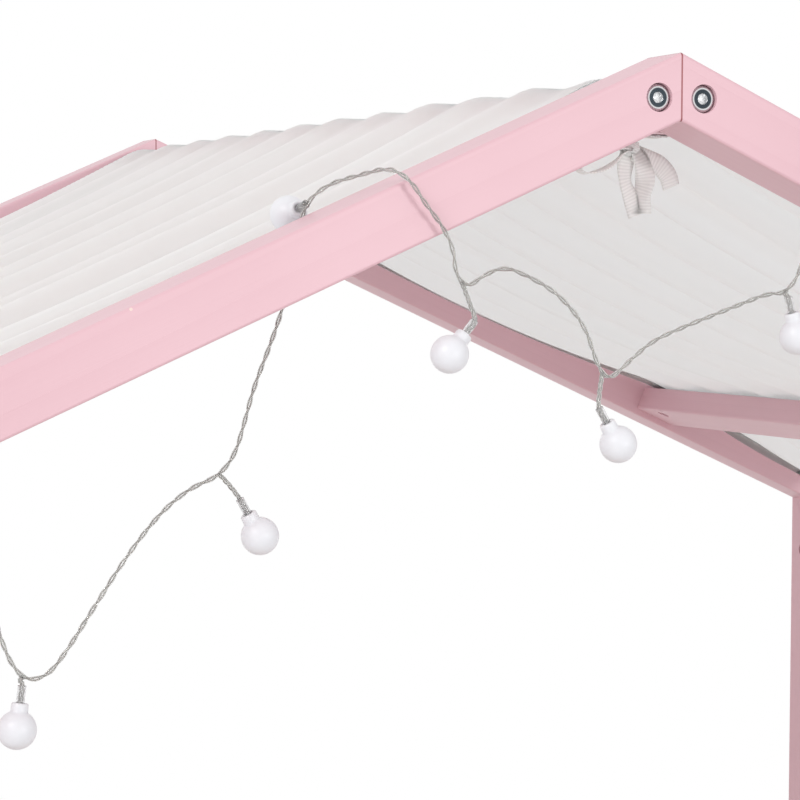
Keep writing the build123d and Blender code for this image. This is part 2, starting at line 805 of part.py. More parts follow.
def bend(index):
    # the run in, the run out and half the turn at a point of the route
    run_in = Vector(*wire_points[index]) - Vector(*wire_points[index - 1])
    run_out = Vector(*wire_points[index + 1]) - Vector(*wire_points[index])
    return run_in, run_out, radians(run_in.get_angle(run_out) / 2)


def bend_radius(index):
    run_in, run_out, half_turn = bend(index)
    return 0.45 * min(run_in.length, run_out.length) / tan(half_turn)


def wire_centre(index):
    # where the wire's centre line passes a point of the route
    point = Vector(*wire_points[index])
    if index == len(wire_points) - 1:
        return point
    run_in, run_out, half_turn = bend(index)
    inward = (run_out.normalized() - run_in.normalized()).normalized()
    return point + inward * (bend_radius(index) * (1 / cos(half_turn) - 1))


def light_wire():
    radii = [bend_radius(index) for index in range(1, len(wire_points) - 1)]
    path = FilletPolyline(*wire_points, radius=radii)
    tube = sweep(Plane(origin=path @ 0, z_dir=path % 0) * Circle(wire_diameter / 2), path=path)
    section = pi * wire_diameter ** 2 / 4
    print("wire", round(path.length), "long, radii", round(min(radii), 1), "to", round(max(radii)),
          "volume share", round(tube.volume / (section * path.length), 4))
    return tube


def light_frames():
    # a plane in the middle of each globe, its Z pointing away from the wire, and how far the wire's skin is
    frames = []
    for index, centre in light_places:
        lead = Vector(*centre) - wire_centre(index)
        skin = 0 if index == len(wire_points) - 1 else wire_diameter / 2
        frames.append((Plane(origin=centre, z_dir=lead), lead.length - skin))
    return frames


def upright(diameter, low, high):
    # a rod along Z from low to high
    return rod((0, 0, low), up, diameter, high - low)


def light_sleeve(reach):
    sleeve_foot = -led_setback - sleeve_length
    lead_foot = sleeve_gap - reach
    return upright(branch_diameter, lead_foot, sleeve_foot) + upright(sleeve_diameter, sleeve_foot, -led_setback)


def light_globe(reach):
    # the same for every reach
    neck = upright(collar_diameter, -globe_diameter / 2 - collar_length + globe_wall, 0)
    bore = upright(led_diameter + led_clearance * 2, -globe_diameter, 0)
    return Sphere(globe_diameter / 2) + neck - Sphere(globe_diameter / 2 - globe_wall) - bore


def light_led(reach):
    # the same for every reach
    return upright(led_diameter, -led_setback, -led_setback + led_length)


def at_lights(make):
    return [frame.location * make(reach) for frame, reach in light_frames()]


# Every sub-part by name
parts = {}
for side, end in corners:
    parts[f"{end_names[end]}_{side_names[side]}_post"] = [post(side, end)]
    parts[f"{end_names[end]}_{side_names[side]}_rafter"] = [rafter(side, end)]
parts["ridge_beam"] = [ridge_beam()]
for side in sides:
    parts[f"{side_names[side]}_purlin"] = [purlin(side)]
    parts[f"{side_names[side]}_end_rail"] = [end_rail(side)]
    parts[f"{side_names[side]}_top_rail"] = [end_top_rail(side)]
    parts[f"{side_names[side]}_spindles"] = [spindle(side * post_x, y) for y in end_spindle_places]
for end in sides:
    parts[f"{end_names[end]}_side_rail"] = [side_rail(end)]
    parts[f"{end_names[end]}_slat_ledger"] = [slat_ledger(end)]
    parts[f"{end_names[end]}_ridge_tie"] = [ridge_tie(end)]
parts["rear_top_rail"] = [rear_top_rail()]
parts["rear_spindles"] = [spindle(x, post_y) for x in rear_spindle_places]
for number, x in enumerate(slat_places, 1):
    parts[f"slat_{number}"] = [slat(x)]
parts["base_screws"] = base_screws()
parts["post_glides"] = [glide(side, end) for side, end in corners]

rail_seats = side_rail_seats() + end_rail_seats() + end_top_seats() + rear_top_seats()
rail_nuts = nuts_for(side_rail_seats() + rear_top_seats(), towards_middle_y)
rail_nuts += nuts_for(end_rail_seats() + end_top_seats(), towards_middle_x)
roof_nuts = nuts_for(purlin_seats(), under_roof) + nuts_for(post_seats(), towards_middle_x)
parts["ridge_bolts"] = bolts_at(ridge_seats(), ridge_bolt_length)
parts["ridge_inserts"] = [threaded_insert(seat, out) for seat, out in ridge_seats()]
parts["roof_bolts"] = bolts_at(purlin_seats() + post_seats(), frame_bolt_length)
parts["rail_bolts"] = bolts_at(rail_seats, frame_bolt_length)
parts["roof_barrel_nuts"] = [barrel_nut(*nut) for nut in roof_nuts]
parts["rail_barrel_nuts"] = [barrel_nut(*nut) for nut in rail_nuts]
parts["roof_dowels"] = [dowel(*pin) for pin in purlin_dowels() + post_dowels()]
parts["rail_dowels"] = [dowel(*pin) for pin in end_top_dowels() + rear_top_dowels()]

parts["canopy_cloth"] = [canopy_cloth()]
parts["corner_ties"] = [corner_tie(side, -1) for side in sides]
parts["light_wire"] = [light_wire()]
parts["light_sleeves"] = at_lights(light_sleeve)
parts["light_globes"] = at_lights(light_globe)
parts["light_leds"] = at_lights(light_led)
parts["battery_case"] = [battery_case()]
parts["battery_cover"] = [battery_cover()]
parts["battery_cells"] = [battery_cell(*cell) for cell in cell_places()]
parts["battery_contacts"] = [shape for cell in cell_places() for shape in cell_contacts(*cell)]
parts["switch_body"] = [switch_body()]
parts["light_switch_knob"] = [light_switch_knob()]
parts["case_pad"] = [case_pad()]
parts["wire_grommet"] = [rod((cell_x, -post_y, case_top_z), up, grommet_diameter, grommet_height)]

os.makedirs("parts", exist_ok=True)
for name, solids in parts.items():
    export_step(group(solids) if len(solids) > 1 else solids[0], f"parts/{name}.step")
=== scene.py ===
# Canopy bed: a painted house frame with a slatted base, a cloth roof and a string of globe lights. Metres.
import math

import bpy
from mathutils import Matrix, Vector, noise


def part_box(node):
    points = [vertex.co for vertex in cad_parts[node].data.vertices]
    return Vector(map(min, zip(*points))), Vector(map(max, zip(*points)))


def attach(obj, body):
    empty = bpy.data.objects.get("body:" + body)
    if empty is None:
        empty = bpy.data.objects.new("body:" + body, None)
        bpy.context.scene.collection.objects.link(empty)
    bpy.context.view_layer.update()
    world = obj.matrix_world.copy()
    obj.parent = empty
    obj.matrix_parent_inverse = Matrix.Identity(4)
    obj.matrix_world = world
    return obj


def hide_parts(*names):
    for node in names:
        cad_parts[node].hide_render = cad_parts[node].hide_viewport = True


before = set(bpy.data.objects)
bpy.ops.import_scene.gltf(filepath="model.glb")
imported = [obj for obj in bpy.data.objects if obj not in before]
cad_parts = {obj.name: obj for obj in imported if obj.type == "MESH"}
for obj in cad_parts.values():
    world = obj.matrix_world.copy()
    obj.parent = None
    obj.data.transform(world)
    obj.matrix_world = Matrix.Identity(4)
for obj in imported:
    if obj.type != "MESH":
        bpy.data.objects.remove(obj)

scene = bpy.context.scene
scene.view_settings.view_transform = "Standard"
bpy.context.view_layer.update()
bedBody = "bed"
millimetre = 0.001


def mm(*values):
    return Vector(values) * millimetre


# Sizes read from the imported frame
roofSlope = math.radians(24)
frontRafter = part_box("front_left_rafter")
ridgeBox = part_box("ridge_beam")
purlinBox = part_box("right_purlin")
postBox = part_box("front_left_post")
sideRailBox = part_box("front_side_rail")
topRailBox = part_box("right_top_rail")
apexZ = frontRafter[1].z
frontY = frontRafter[0].y
innerY = abs(frontRafter[1].y)
outerX = abs(postBox[0].x)
postX = (abs(postBox[0].x) + abs(postBox[1].x)) / 2
postY = (abs(postBox[0].y) + abs(postBox[1].y)) / 2
purlinX = (purlinBox[0].x + purlinBox[1].x) / 2
ridgeHalf = ridgeBox[1].x
ridgeTop = ridgeBox[1].z
ridgeBottom = ridgeBox[0].z
sides = (-1, 1)


def roofHeight(x, drop=0.0):
    return apexZ - abs(x) * math.tan(roofSlope) - drop / math.cos(roofSlope)


# Camera at the photograph's place
cameraSettings = {"place": (-0.600, -1.530, 1.210), "heading": 22.67, "pitch": -2.68, "roll": 0.30,
                  "lens": 115.1, "sensor": 36.0}


def makeCamera(settings):
    data = bpy.data.cameras.new("photoCamera")
    data.lens = settings["lens"]
    data.sensor_width = settings["sensor"]
    camera = bpy.data.objects.new("photoCamera", data)
    scene.collection.objects.link(camera)
    turn = Matrix.Rotation(-math.radians(settings["heading"]), 4, "Z")
    turn = turn @ Matrix.Rotation(math.radians(90 + settings["pitch"]), 4, "X")
    turn = turn @ Matrix.Rotation(math.radians(settings["roll"]), 4, "Z")
    camera.matrix_world = Matrix.Translation(settings["place"]) @ turn
    scene.camera = camera


makeCamera(cameraSettings)
print("camera placed")


# Mesh helpers
def newPiece(name, vertices, faces, material=None, uvs=None, smooth=True):
    mesh = bpy.data.meshes.new(name)
    mesh.from_pydata([tuple(v) for v in vertices], [], faces)
    if uvs:
        layer = mesh.uv_layers.new(name="UVMap")
        for loop in mesh.loops:
            layer.data[loop.index].uv = uvs[loop.vertex_index]
    mesh.polygons.foreach_set("use_smooth", [smooth] * len(mesh.polygons))
    if material:
        mesh.materials.append(material)
    piece = bpy.data.objects.new(name, mesh)
    scene.collection.objects.link(piece)
    return piece


def applied(piece):
    # turn a piece's modifiers into plain mesh
    graph = bpy.context.evaluated_depsgraph_get()
    mesh = bpy.data.meshes.new_from_object(piece.evaluated_get(graph))
    piece.modifiers.clear()
    piece.data = mesh
    return piece


def thicken(piece, thickness):
    shell = piece.modifiers.new("wall", "SOLIDIFY")
    shell.thickness = thickness
    shell.offset = 0
    shell.use_even_offset = True
    return applied(piece)


def joinedPiece(name, meshes, material):
    # one piece from several lists of vertices, faces and UVs
    vertices, faces, uvs = [], [], []
    for points, corners, places in meshes:
        start = len(vertices)
        vertices += points
        faces += [[index + start for index in face] for face in corners]
        uvs += places
    return newPiece(name, vertices, faces, material, uvs)


def mergedPieces(name, pieces):
    # several pieces made one mesh
    meshes = []
    for piece in pieces:
        mesh = piece.data
        uvs = [(0.0, 0.0)] * len(mesh.vertices)
        if mesh.uv_layers:
            for loop in mesh.loops:
                uvs[loop.vertex_index] = tuple(mesh.uv_layers[0].data[loop.index].uv)
        meshes.append(([vertex.co.copy() for vertex in mesh.vertices],
                       [list(face.vertices) for face in mesh.polygons], uvs))
        material = mesh.materials[0] if mesh.materials else None
        bpy.data.objects.remove(piece)
    return joinedPiece(name, meshes, material)


def smoothPath(knots, steps):
    # Catmull-Rom curve through a few points
    knots = [Vector(k) for k in knots]
    padded = [knots[0] * 2 - knots[1]] + knots + [knots[-1] * 2 - knots[-2]]
    path = []
    for index in range(len(knots) - 1):
        a, b, c, d = padded[index:index + 4]
        for step in range(steps):
            t = step / steps
            path.append(0.5 * (2 * b + (c - a) * t + (2 * a - 5 * b + 4 * c - d) * t * t
                               + (3 * b - a - 3 * c + d) * t ** 3))
    return path + [knots[-1]]


def evenPath(path, step):
    lengths = [0.0]
    for a, b in zip(path, path[1:]):
        lengths.append(lengths[-1] + (b - a).length)
    count = max(2, round(lengths[-1] / step))
    result, index = [], 0
    for number in range(count + 1):
        goal = lengths[-1] * number / count
        while index < len(path) - 2 and lengths[index + 1] < goal:
            index += 1
        span = max(lengths[index + 1] - lengths[index], 1e-9)
        result.append(path[index].lerp(path[index + 1], min(1.0, (goal - lengths[index]) / span)))
    return result


def pathFrames(path):
    # two square directions carried along a path without twist
    last = len(path) - 1
    tangents = [(path[min(i + 1, last)] - path[max(i - 1, 0)]).normalized() for i in range(len(path))]
    normal = tangents[0].orthogonal().normalized()
    frames = []
    for tangent in tangents:
        normal = (normal - tangent * normal.dot(tangent)).normalized()
        frames.append((normal, tangent.cross(normal)))
    return frames


def tubeMesh(path, radius, sides):
    # closed tube, with its length in U and its girth in V
    frames = pathFrames(path)
    vertices, faces, uvs = [], [], []
    run = 0.0
    for index, (point, (a, b)) in enumerate(zip(path, frames)):
        if index:
            run += (point - path[index - 1]).length
        for side in range(sides):
            angle = 2 * math.pi * side / sides
            vertices.append(point + (a * math.cos(angle) + b * math.sin(angle)) * radius)
            uvs.append((run, side / sides))
    for ring in range(len(path) - 1):
        for side in range(sides):
            low, high = ring * sides, (ring + 1) * sides
            faces.append([low + side, low + (side + 1) % sides, high + (side + 1) % sides, high + side])
    faces.append(list(range(sides))[::-1])
    last = (len(path) - 1) * sides
    faces.append([last + side for side in range(sides)])
    return vertices, faces, uvs


def twisted(path, offset, pitch, phase):
    frames = pathFrames(path)
    run, result = 0.0, []
    for index, (point, (a, b)) in enumerate(zip(path, frames)):
        if index:
            run += (point - path[index - 1]).length
        angle = 2 * math.pi * run / pitch + phase
        result.append(point + (a * math.cos(angle) + b * math.sin(angle)) * offset)
    return result


def turned(profile, segments, hexRings=()):
    # surface of revolution about Z; a listed ring is a hexagon, its radius half the width across flats
    vertices, faces = [], []
    for ring, (radius, z) in enumerate(profile):
        for step in range(segments):
            angle = 2 * math.pi * step / segments
            reach = radius
            if ring in hexRings:
                reach = radius / math.cos((angle + math.pi / 6) % (math.pi / 3) - math.pi / 6)
            vertices.append(Vector((reach * math.cos(angle), reach * math.sin(angle), z)))
    for ring in range(len(profile) - 1):
        for step in range(segments):
            low, high = ring * segments, (ring + 1) * segments
            after = (step + 1) % segments
            faces.append([low + step, low + after, high + after, high + step])
    faces.append(list(range(segments))[::-1])
    last = (len(profile) - 1) * segments
    faces.append([last + step for step in range(segments)])
    return vertices, faces


# Shader groups
def newGroup(name, inputs, outputs, treeKind="ShaderNodeTree"):
    group = bpy.data.node_groups.new(name, treeKind)
    for label, kind, value in inputs:
        socket = group.interface.new_socket(name=label, in_out="INPUT", socket_type=kind)
        if value is not None:
            socket.default_value = value
    for label, kind in outputs:
        group.interface.new_socket(name=label, in_out="OUTPUT", socket_type=kind)
    return group, group.nodes.new("NodeGroupInput"), group.nodes.new("NodeGroupOutput")


def mathNode(tree, operation, first, second=None):
    node = tree.nodes.new("ShaderNodeMath")
    node.operation = operation
    for index, value in enumerate((first, second)):
        if isinstance(value, bpy.types.NodeSocket):
            tree.links.new(value, node.inputs[index])
        elif value is not None:
            node.inputs[index].default_value = value
    return node.outputs[0]


def scaled(tree, value, factor):
    return mathNode(tree, "MULTIPLY", value, factor)


def noiseNode(tree, vector, scale, detail=3.0, roughness=0.5):
    node = tree.nodes.new("ShaderNodeTexNoise")
    node.inputs["Detail"].default_value = detail
    node.inputs["Roughness"].default_value = roughness
    tree.links.new(vector, node.inputs["Vector"])
    if isinstance(scale, bpy.types.NodeSocket):
        tree.links.new(scale, node.inputs["Scale"])
    else:
        node.inputs["Scale"].default_value = scale
    return node.outputs["Fac"]


def stretchNode(tree, vector, factors):
    node = tree.nodes.new("ShaderNodeVectorMath")
    node.operation = "MULTIPLY"
    tree.links.new(vector, node.inputs[0])
    node.inputs[1].default_value = factors
    return node.outputs[0]


def woodGrainGroup():
    # growth rings and fine fibres that run along the vector's X
    group, given, result = newGroup(
        "woodGrain",
        [("Vector", "NodeSocketVector", None), ("Rings", "NodeSocketFloat", 90.0),
         ("Wander", "NodeSocketFloat", 1.2)],
        [("Figure", "NodeSocketFloat"), ("Fibre", "NodeSocketFloat")])
    long = stretchNode(group, given.outputs["Vector"], (0.9, 9.0, 9.0))
    drift = noiseNode(group, long, 1.6, 2.0)
    split = group.nodes.new("ShaderNodeSeparateXYZ")
    group.links.new(given.outputs["Vector"], split.inputs[0])
    across = mathNode(group, "ADD", split.outputs["Y"], scaled(group, split.outputs["Z"], 0.6))
    phase = scaled(group, across, given.outputs["Rings"])
    phase = mathNode(group, "ADD", phase, scaled(group, drift, given.outputs["Wander"]))
    saw = mathNode(group, "FRACT", phase)
    figure = mathNode(group, "POWER", saw, 2.2)
    fine = stretchNode(group, given.outputs["Vector"], (14.0, 900.0, 900.0))
    fibre = noiseNode(group, fine, 1.0, 3.0, 0.6)
    group.links.new(figure, result.inputs["Figure"])
    group.links.new(fibre, result.inputs["Fibre"])
    return group


def handlingGroup():
    # soft large mottling and small specks of wear or dust
    group, given, result = newGroup(
        "handling", [("Vector", "NodeSocketVector", None), ("Size", "NodeSocketFloat", 14.0)],
        [("Mottle", "NodeSocketFloat"), ("Specks", "NodeSocketFloat")])
    mottle = noiseNode(group, given.outputs["Vector"], given.outputs["Size"], 3.0)
    group.links.new(mottle, result.inputs["Mottle"])
    small = scaled(group, given.outputs["Size"], 28.0)
    specks = noiseNode(group, given.outputs["Vector"], small, 2.0)
    group.links.new(mathNode(group, "GREATER_THAN", specks, 0.68), result.inputs["Specks"])
    return group


def weaveGroup():
    # plain weave from a UV map in metres
    group, given, result = newGroup(
        "weave", [("Vector", "NodeSocketVector", None), ("Threads", "NodeSocketFloat", 1800.0)],
        [("Height", "NodeSocketFloat"), ("Slub", "NodeSocketFloat")])
    split = group.nodes.new("ShaderNodeSeparateXYZ")
    group.links.new(given.outputs["Vector"], split.inputs[0])
    waves = []
    for axis in ("X", "Y"):
        turn = scaled(group, split.outputs[axis], given.outputs["Threads"])
        waves.append(mathNode(group, "SINE", scaled(group, turn, math.pi)))
    product = scaled(group, waves[0], waves[1])
    height = mathNode(group, "ADD", scaled(group, product, 0.5), 0.5)
    slubs = stretchNode(group, given.outputs["Vector"], (60.0, 900.0, 1.0))
    group.links.new(height, result.inputs["Height"])
    group.links.new(noiseNode(group, slubs, 1.0, 2.0), result.inputs["Slub"])
    return group


groups = {"grain": woodGrainGroup(), "handling": handlingGroup(), "weave": weaveGroup()}


# Materials
def newMaterial(name, **plain):
    material = bpy.data.materials.new(name)
    material.use_nodes = True
    shader = material.node_tree.nodes["Principled BSDF"]
    for label, value in plain.items():
        shader.inputs[label.replace("_", " ")].default_value = value
    return material, material.node_tree, shader


def placed(tree, group, vector, **values):
    node = tree.nodes.new("ShaderNodeGroup")
    node.node_tree = groups[group]
    tree.links.new(vector, node.inputs["Vector"])
    for label, value in values.items():
        node.inputs[label].default_value = value
    return node


def coordinates(tree, kind="Object", turn=(0, 0, 0)):
    source = tree.nodes.new("ShaderNodeTexCoord")
    mapping = tree.nodes.new("ShaderNodeMapping")
    mapping.inputs["Rotation"].default_value = turn
    tree.links.new(source.outputs[kind], mapping.inputs["Vector"])
    return mapping.outputs["Vector"]


def blendColours(tree, share, first, second):
    node = tree.nodes.new("ShaderNodeMix")
    node.data_type = "RGBA"
    node.clamp_factor = True
    if isinstance(share, bpy.types.NodeSocket):
        tree.links.new(share, node.inputs["Factor"])
    else:
        node.inputs["Factor"].default_value = share
    for socket, value in zip((node.inputs[6], node.inputs[7]), (first, second)):
        if isinstance(value, bpy.types.NodeSocket):
            tree.links.new(value, socket)
        else:
            socket.default_value = (*value, 1)
    return node.outputs[2]


def bumped(tree, shader, height, strength, distance):
    bump = tree.nodes.new("ShaderNodeBump")
    bump.inputs["Strength"].default_value = strength
    bump.inputs["Distance"].default_value = distance
    tree.links.new(height, bump.inputs["Height"])
    tree.links.new(bump.outputs["Normal"], shader.inputs["Normal"])


def roughened(tree, shader, mask, low, high):
    spread = scaled(tree, mask, high - low)
    tree.links.new(mathNode(tree, "ADD", spread, low), shader.inputs["Roughness"])


paintSettings = {"pink": (0.755, 0.485, 0.535), "thin": (0.620, 0.345, 0.395), "deep": (0.680, 0.395, 0.450),
                 "bare": (0.830, 0.660, 0.600), "seam": (0.330, 0.090, 0.100), "seamWidth": 0.00045,
                 "chip": (-0.2747, -0.4430, 1.1967), "chipSize": 0.0008}


def paintedWood(name, turn, seam=False):
    settings = paintSettings
    material, tree, shader = newMaterial(name, Coat_Weight=0.12, Coat_Roughness=0.25)
    vector = coordinates(tree, turn=turn)
    grain = placed(tree, "grain", vector, Rings=120.0, Wander=1.6)
    hands = placed(tree, "handling", vector, Size=9.0)
    colour = blendColours(tree, scaled(tree, grain.outputs["Figure"], 0.10),
                          settings["pink"], settings["thin"])
    mottle = scaled(tree, hands.outputs["Mottle"], 0.22)
    colour = blendColours(tree, mottle, colour, settings["deep"])
    streak = scaled(tree, mathNode(tree, "GREATER_THAN", grain.outputs["Fibre"], 0.70), 0.16)
    colour = blendColours(tree, streak, colour, settings["thin"])
    if seam:
        place = tree.nodes.new("ShaderNodeTexCoord").outputs["Object"]
        split = tree.nodes.new("ShaderNodeSeparateXYZ")
        tree.links.new(place, split.inputs[0])
        offset = mathNode(tree, "ABSOLUTE", split.outputs["X"])
        near = mathNode(tree, "LESS_THAN", offset, settings["seamWidth"])
        colour = blendColours(tree, near, colour, settings["seam"])
        away = tree.nodes.new("ShaderNodeVectorMath")
        away.operation = "DISTANCE"
        tree.links.new(place, away.inputs[0])
        away.inputs[1].default_value = settings["chip"]
        chip = mathNode(tree, "LESS_THAN", away.outputs["Value"], settings["chipSize"])
        colour = blendColours(tree, chip, colour, settings["bare"])
    tree.links.new(colour, shader.inputs["Base Color"])
    roughened(tree, shader, hands.outputs["Mottle"], 0.36, 0.52)
    figure = scaled(tree, grain.outputs["Figure"], 0.5)
    relief = mathNode(tree, "ADD", figure, grain.outputs["Fibre"])
    bumped(tree, shader, relief, 0.35, 0.00022)
    return material


def bareWood(name, turn, light, dark, rings):
    material, tree, shader = newMaterial(name)
    vector = coordinates(tree, turn=turn)
    grain = placed(tree, "grain", vector, Rings=rings, Wander=2.6)
    hands = placed(tree, "handling", vector, Size=7.0)
    colour = blendColours(tree, scaled(tree, grain.outputs["Figure"], 0.75), light, dark)
    colour = blendColours(tree, scaled(tree, hands.outputs["Mottle"], 0.35), colour, dark)
    colour = blendColours(tree, scaled(tree, grain.outputs["Fibre"], 0.18), colour, (0.30, 0.17, 0.08))
    tree.links.new(colour, shader.inputs["Base Color"])
    roughened(tree, shader, grain.outputs["Fibre"], 0.45, 0.75)
    bumped(tree, shader, grain.outputs["Fibre"], 0.4, 0.0003)
    return material


def plainMetal(name, colour, low, high, dark=None):
    # bright plated metal; where the piece's face attribute marks it, the colour goes near black as a painted
    # dark reflection
    material, tree, shader = newMaterial(name, Metallic=1.0)
    vector = coordinates(tree)
    hands = placed(tree, "handling", vector, Size=160.0)
    shade = blendColours(tree, scaled(tree, hands.outputs["Mottle"], 0.5), colour,
                         [value * 0.72 for value in colour])
    # painted reflection: the marked flat face is coloured dark, as if it mirrored dark surroundings
    if dark:
        reflectionMark = tree.nodes.new("ShaderNodeAttribute")
        reflectionMark.attribute_name = "face"
        shade = blendColours(tree, reflectionMark.outputs["Fac"], shade, dark)
    tree.links.new(shade, shader.inputs["Base Color"])
    roughened(tree, shader, hands.outputs["Mottle"], low, high)
    bumped(tree, shader, hands.outputs["Mottle"], 0.15, 0.0001)
    return material


def moulded(name, colour, low, high, size=220.0, depth=0.00006, **plain):
    material, tree, shader = newMaterial(name, **plain)
    hands = placed(tree, "handling", coordinates(tree), Size=size)
    shade = blendColours(tree, scaled(tree, hands.outputs["Mottle"], 0.25), colour,
                         [value * 0.86 for value in colour])
    tree.links.new(shade, shader.inputs["Base Color"])
    roughened(tree, shader, hands.outputs["Mottle"], low, high)
    bumped(tree, shader, hands.outputs["Mottle"], 0.3, depth)
    return material


def wovenCloth(name, colour, threads, **plain):
    material, tree, shader = newMaterial(name, Sheen_Weight=0.15, **plain)
    vector = coordinates(tree, "UV")
    weave = placed(tree, "weave", vector, Threads=threads)
    hands = placed(tree, "handling", coordinates(tree), Size=6.0)
    shade = blendColours(tree, scaled(tree, weave.outputs["Slub"], 0.10), colour,
                         [value * 0.90 for value in colour])
    # painted fold shade: noise streaks along the slope darken the cloth towards greenish grey where its folds
    # would be shaded
    paintedFoldShade = noiseNode(tree, stretchNode(tree, vector, (0.8, 13.0, 1.0)), 1.0, 3.0, 0.5)
    paintedFoldShade = mathNode(tree, "MAXIMUM", mathNode(tree, "SUBTRACT", paintedFoldShade, 0.46), 0.0)
    paintedFoldShade = scaled(tree, paintedFoldShade, 2.6)
    shade = blendColours(tree, paintedFoldShade, shade, (0.74, 0.79, 0.77))
    shade = blendColours(tree, scaled(tree, hands.outputs["Mottle"], 0.06), shade, (0.80, 0.84, 0.82))
    tree.links.new(shade, shader.inputs["Base Color"])
    roughened(tree, shader, weave.outputs["Height"], 0.80, 0.95)
    bumped(tree, shader, weave.outputs["Height"], 0.25, 0.00008)
    return material


def ribbedTape(name, colour):
    # ribs across the tape, whose length is U
    material, tree, shader = newMaterial(name, Sheen_Weight=0.2, Subsurface_Weight=0.6,
                                         Subsurface_Radius=(1.0, 1.0, 1.0), Subsurface_Scale=0.008)
    split = tree.nodes.new("ShaderNodeSeparateXYZ")
    tree.links.new(coordinates(tree, "UV"), split.inputs[0])
    ribPitch = 0.0016
    ribs = mathNode(tree, "SINE", scaled(tree, split.outputs["X"], 2 * math.pi / ribPitch))
    shade = mathNode(tree, "ADD", scaled(tree, ribs, 0.5), 0.5)
    # painted shade: the rib valleys are coloured darker, as the shade between the ribs; the same ribs also
    # set roughness and bump
    ribsWithPaintedShade = blendColours(tree, shade, [value * 0.88 for value in colour], colour)
    tree.links.new(ribsWithPaintedShade, shader.inputs["Base Color"])
    roughened(tree, shader, shade, 0.75, 0.9)
    bumped(tree, shader, shade, 0.4, 0.0002)
    return material


def clearSleeve(name, tint, roughness):
    material, tree, shader = newMaterial(name, Transmission_Weight=0.85, IOR=1.25, Coat_Weight=0.2)
    hands = placed(tree, "handling", coordinates(tree), Size=300.0)
    shade = blendColours(tree, hands.outputs["Mottle"], tint, [value * 0.92 for value in tint])
    tree.links.new(shade, shader.inputs["Base Color"])
    roughened(tree, shader, hands.outputs["Mottle"], roughness, roughness + 0.12)
    return material


quarter = math.pi / 2
finishes = {
    "paintAlongX": paintedWood("paintAlongX", (0, 0, 0)),
    "paintAlongY": paintedWood("paintAlongY", (0, 0, quarter)),
    "paintUpright": paintedWood("paintUpright", (0, quarter, 0)),
    "paintLeftSlope": paintedWood("paintLeftSlope", (0, roofSlope, 0), seam=True),
    "paintRightSlope": paintedWood("paintRightSlope", (0, -roofSlope, 0), seam=True),
    "pineAlongX": bareWood("pineAlongX", (0, 0, 0), (0.76, 0.57, 0.34), (0.55, 0.34, 0.16), 70.0),
    "pineAlongY": bareWood("pineAlongY", (0, 0, quarter), (0.78, 0.59, 0.36), (0.56, 0.35, 0.17), 60.0),
    "beech": bareWood("beech", (0, 0, quarter), (0.70, 0.48, 0.29), (0.55, 0.34, 0.19), 200.0),
    # brightSteel: the near-black colour on the bolt heads' flat faces is a painted dark reflection
    "brightSteel": plainMetal("brightSteel", (0.78, 0.79, 0.80), 0.16, 0.34, dark=(0.016, 0.020, 0.024)),
    "insertBrass": plainMetal("insertBrass", (0.78, 0.58, 0.28), 0.25, 0.4),
    "contactSteel": plainMetal("contactSteel", (0.70, 0.70, 0.68), 0.25, 0.4),
    "canopyFabric": wovenCloth("canopyFabric", (0.950, 0.970, 0.995), 1700.0, Subsurface_Weight=1.0,
                               Subsurface_Radius=(1.0, 1.0, 1.0), Subsurface_Scale=0.020),
    "whiteTape": ribbedTape("whiteTape", (0.93, 0.94, 0.91)),
    "clearWire": clearSleeve("clearWire", (0.93, 0.93, 0.92), 0.08),
    "wireCore": plainMetal("wireCore", (0.42, 0.41, 0.37), 0.35, 0.55),
    "clearSleeve": clearSleeve("clearSleeve", (0.96, 0.96, 0.97), 0.18),
    "frostedGlobe": moulded("frostedGlobe", (0.80, 0.80, 0.83), 0.34, 0.46, 90.0, 0.00002,
                            Subsurface_Weight=0.4, Subsurface_Radius=(1.0, 1.0, 1.0),
                            Subsurface_Scale=0.004),
    "ledResin": moulded("ledResin", (0.86, 0.85, 0.74), 0.1, 0.2, 300.0, 0.00001, Transmission_Weight=0.5),
    "casePlastic": moulded("casePlastic", (0.86, 0.86, 0.86), 0.38, 0.55, 900.0, 0.00005),
    "switchPlastic": moulded("switchPlastic", (0.05, 0.05, 0.05), 0.3, 0.5, 600.0, 0.00003),
    "cellJacket": moulded("cellJacket", (0.22, 0.24, 0.27), 0.2, 0.35, 200.0, 0.00001, Coat_Weight=0.4),
    "foamPad": moulded("foamPad", (0.72, 0.72, 0.70), 0.8, 0.95, 1500.0, 0.00015),
    "clearGrommet": moulded("clearGrommet", (0.80, 0.80, 0.80), 0.3, 0.5, 400.0, 0.00002),
    "glidePlastic": moulded("glidePlastic", (0.78, 0.78, 0.76), 0.4, 0.6, 500.0, 0.00005),
}
print("finishes made:", len(finishes))


# Geometry Nodes: one piece repeated at marked places, and stitches along edges
def linked(tree, *pairs):
    for source, target in pairs:
        tree.links.new(source, target)


def finishedTree(tree, given, result, repeat):
    # the repeated pieces as real mesh in the given finish
    real = tree.nodes.new("GeometryNodeRealizeInstances")
    finish = tree.nodes.new("GeometryNodeSetMaterial")
    linked(tree, (repeat.outputs[0], real.inputs[0]), (real.outputs[0], finish.inputs["Geometry"]),
           (given.outputs["Finish"], finish.inputs["Material"]), (finish.outputs[0], result.inputs[0]))
    return tree


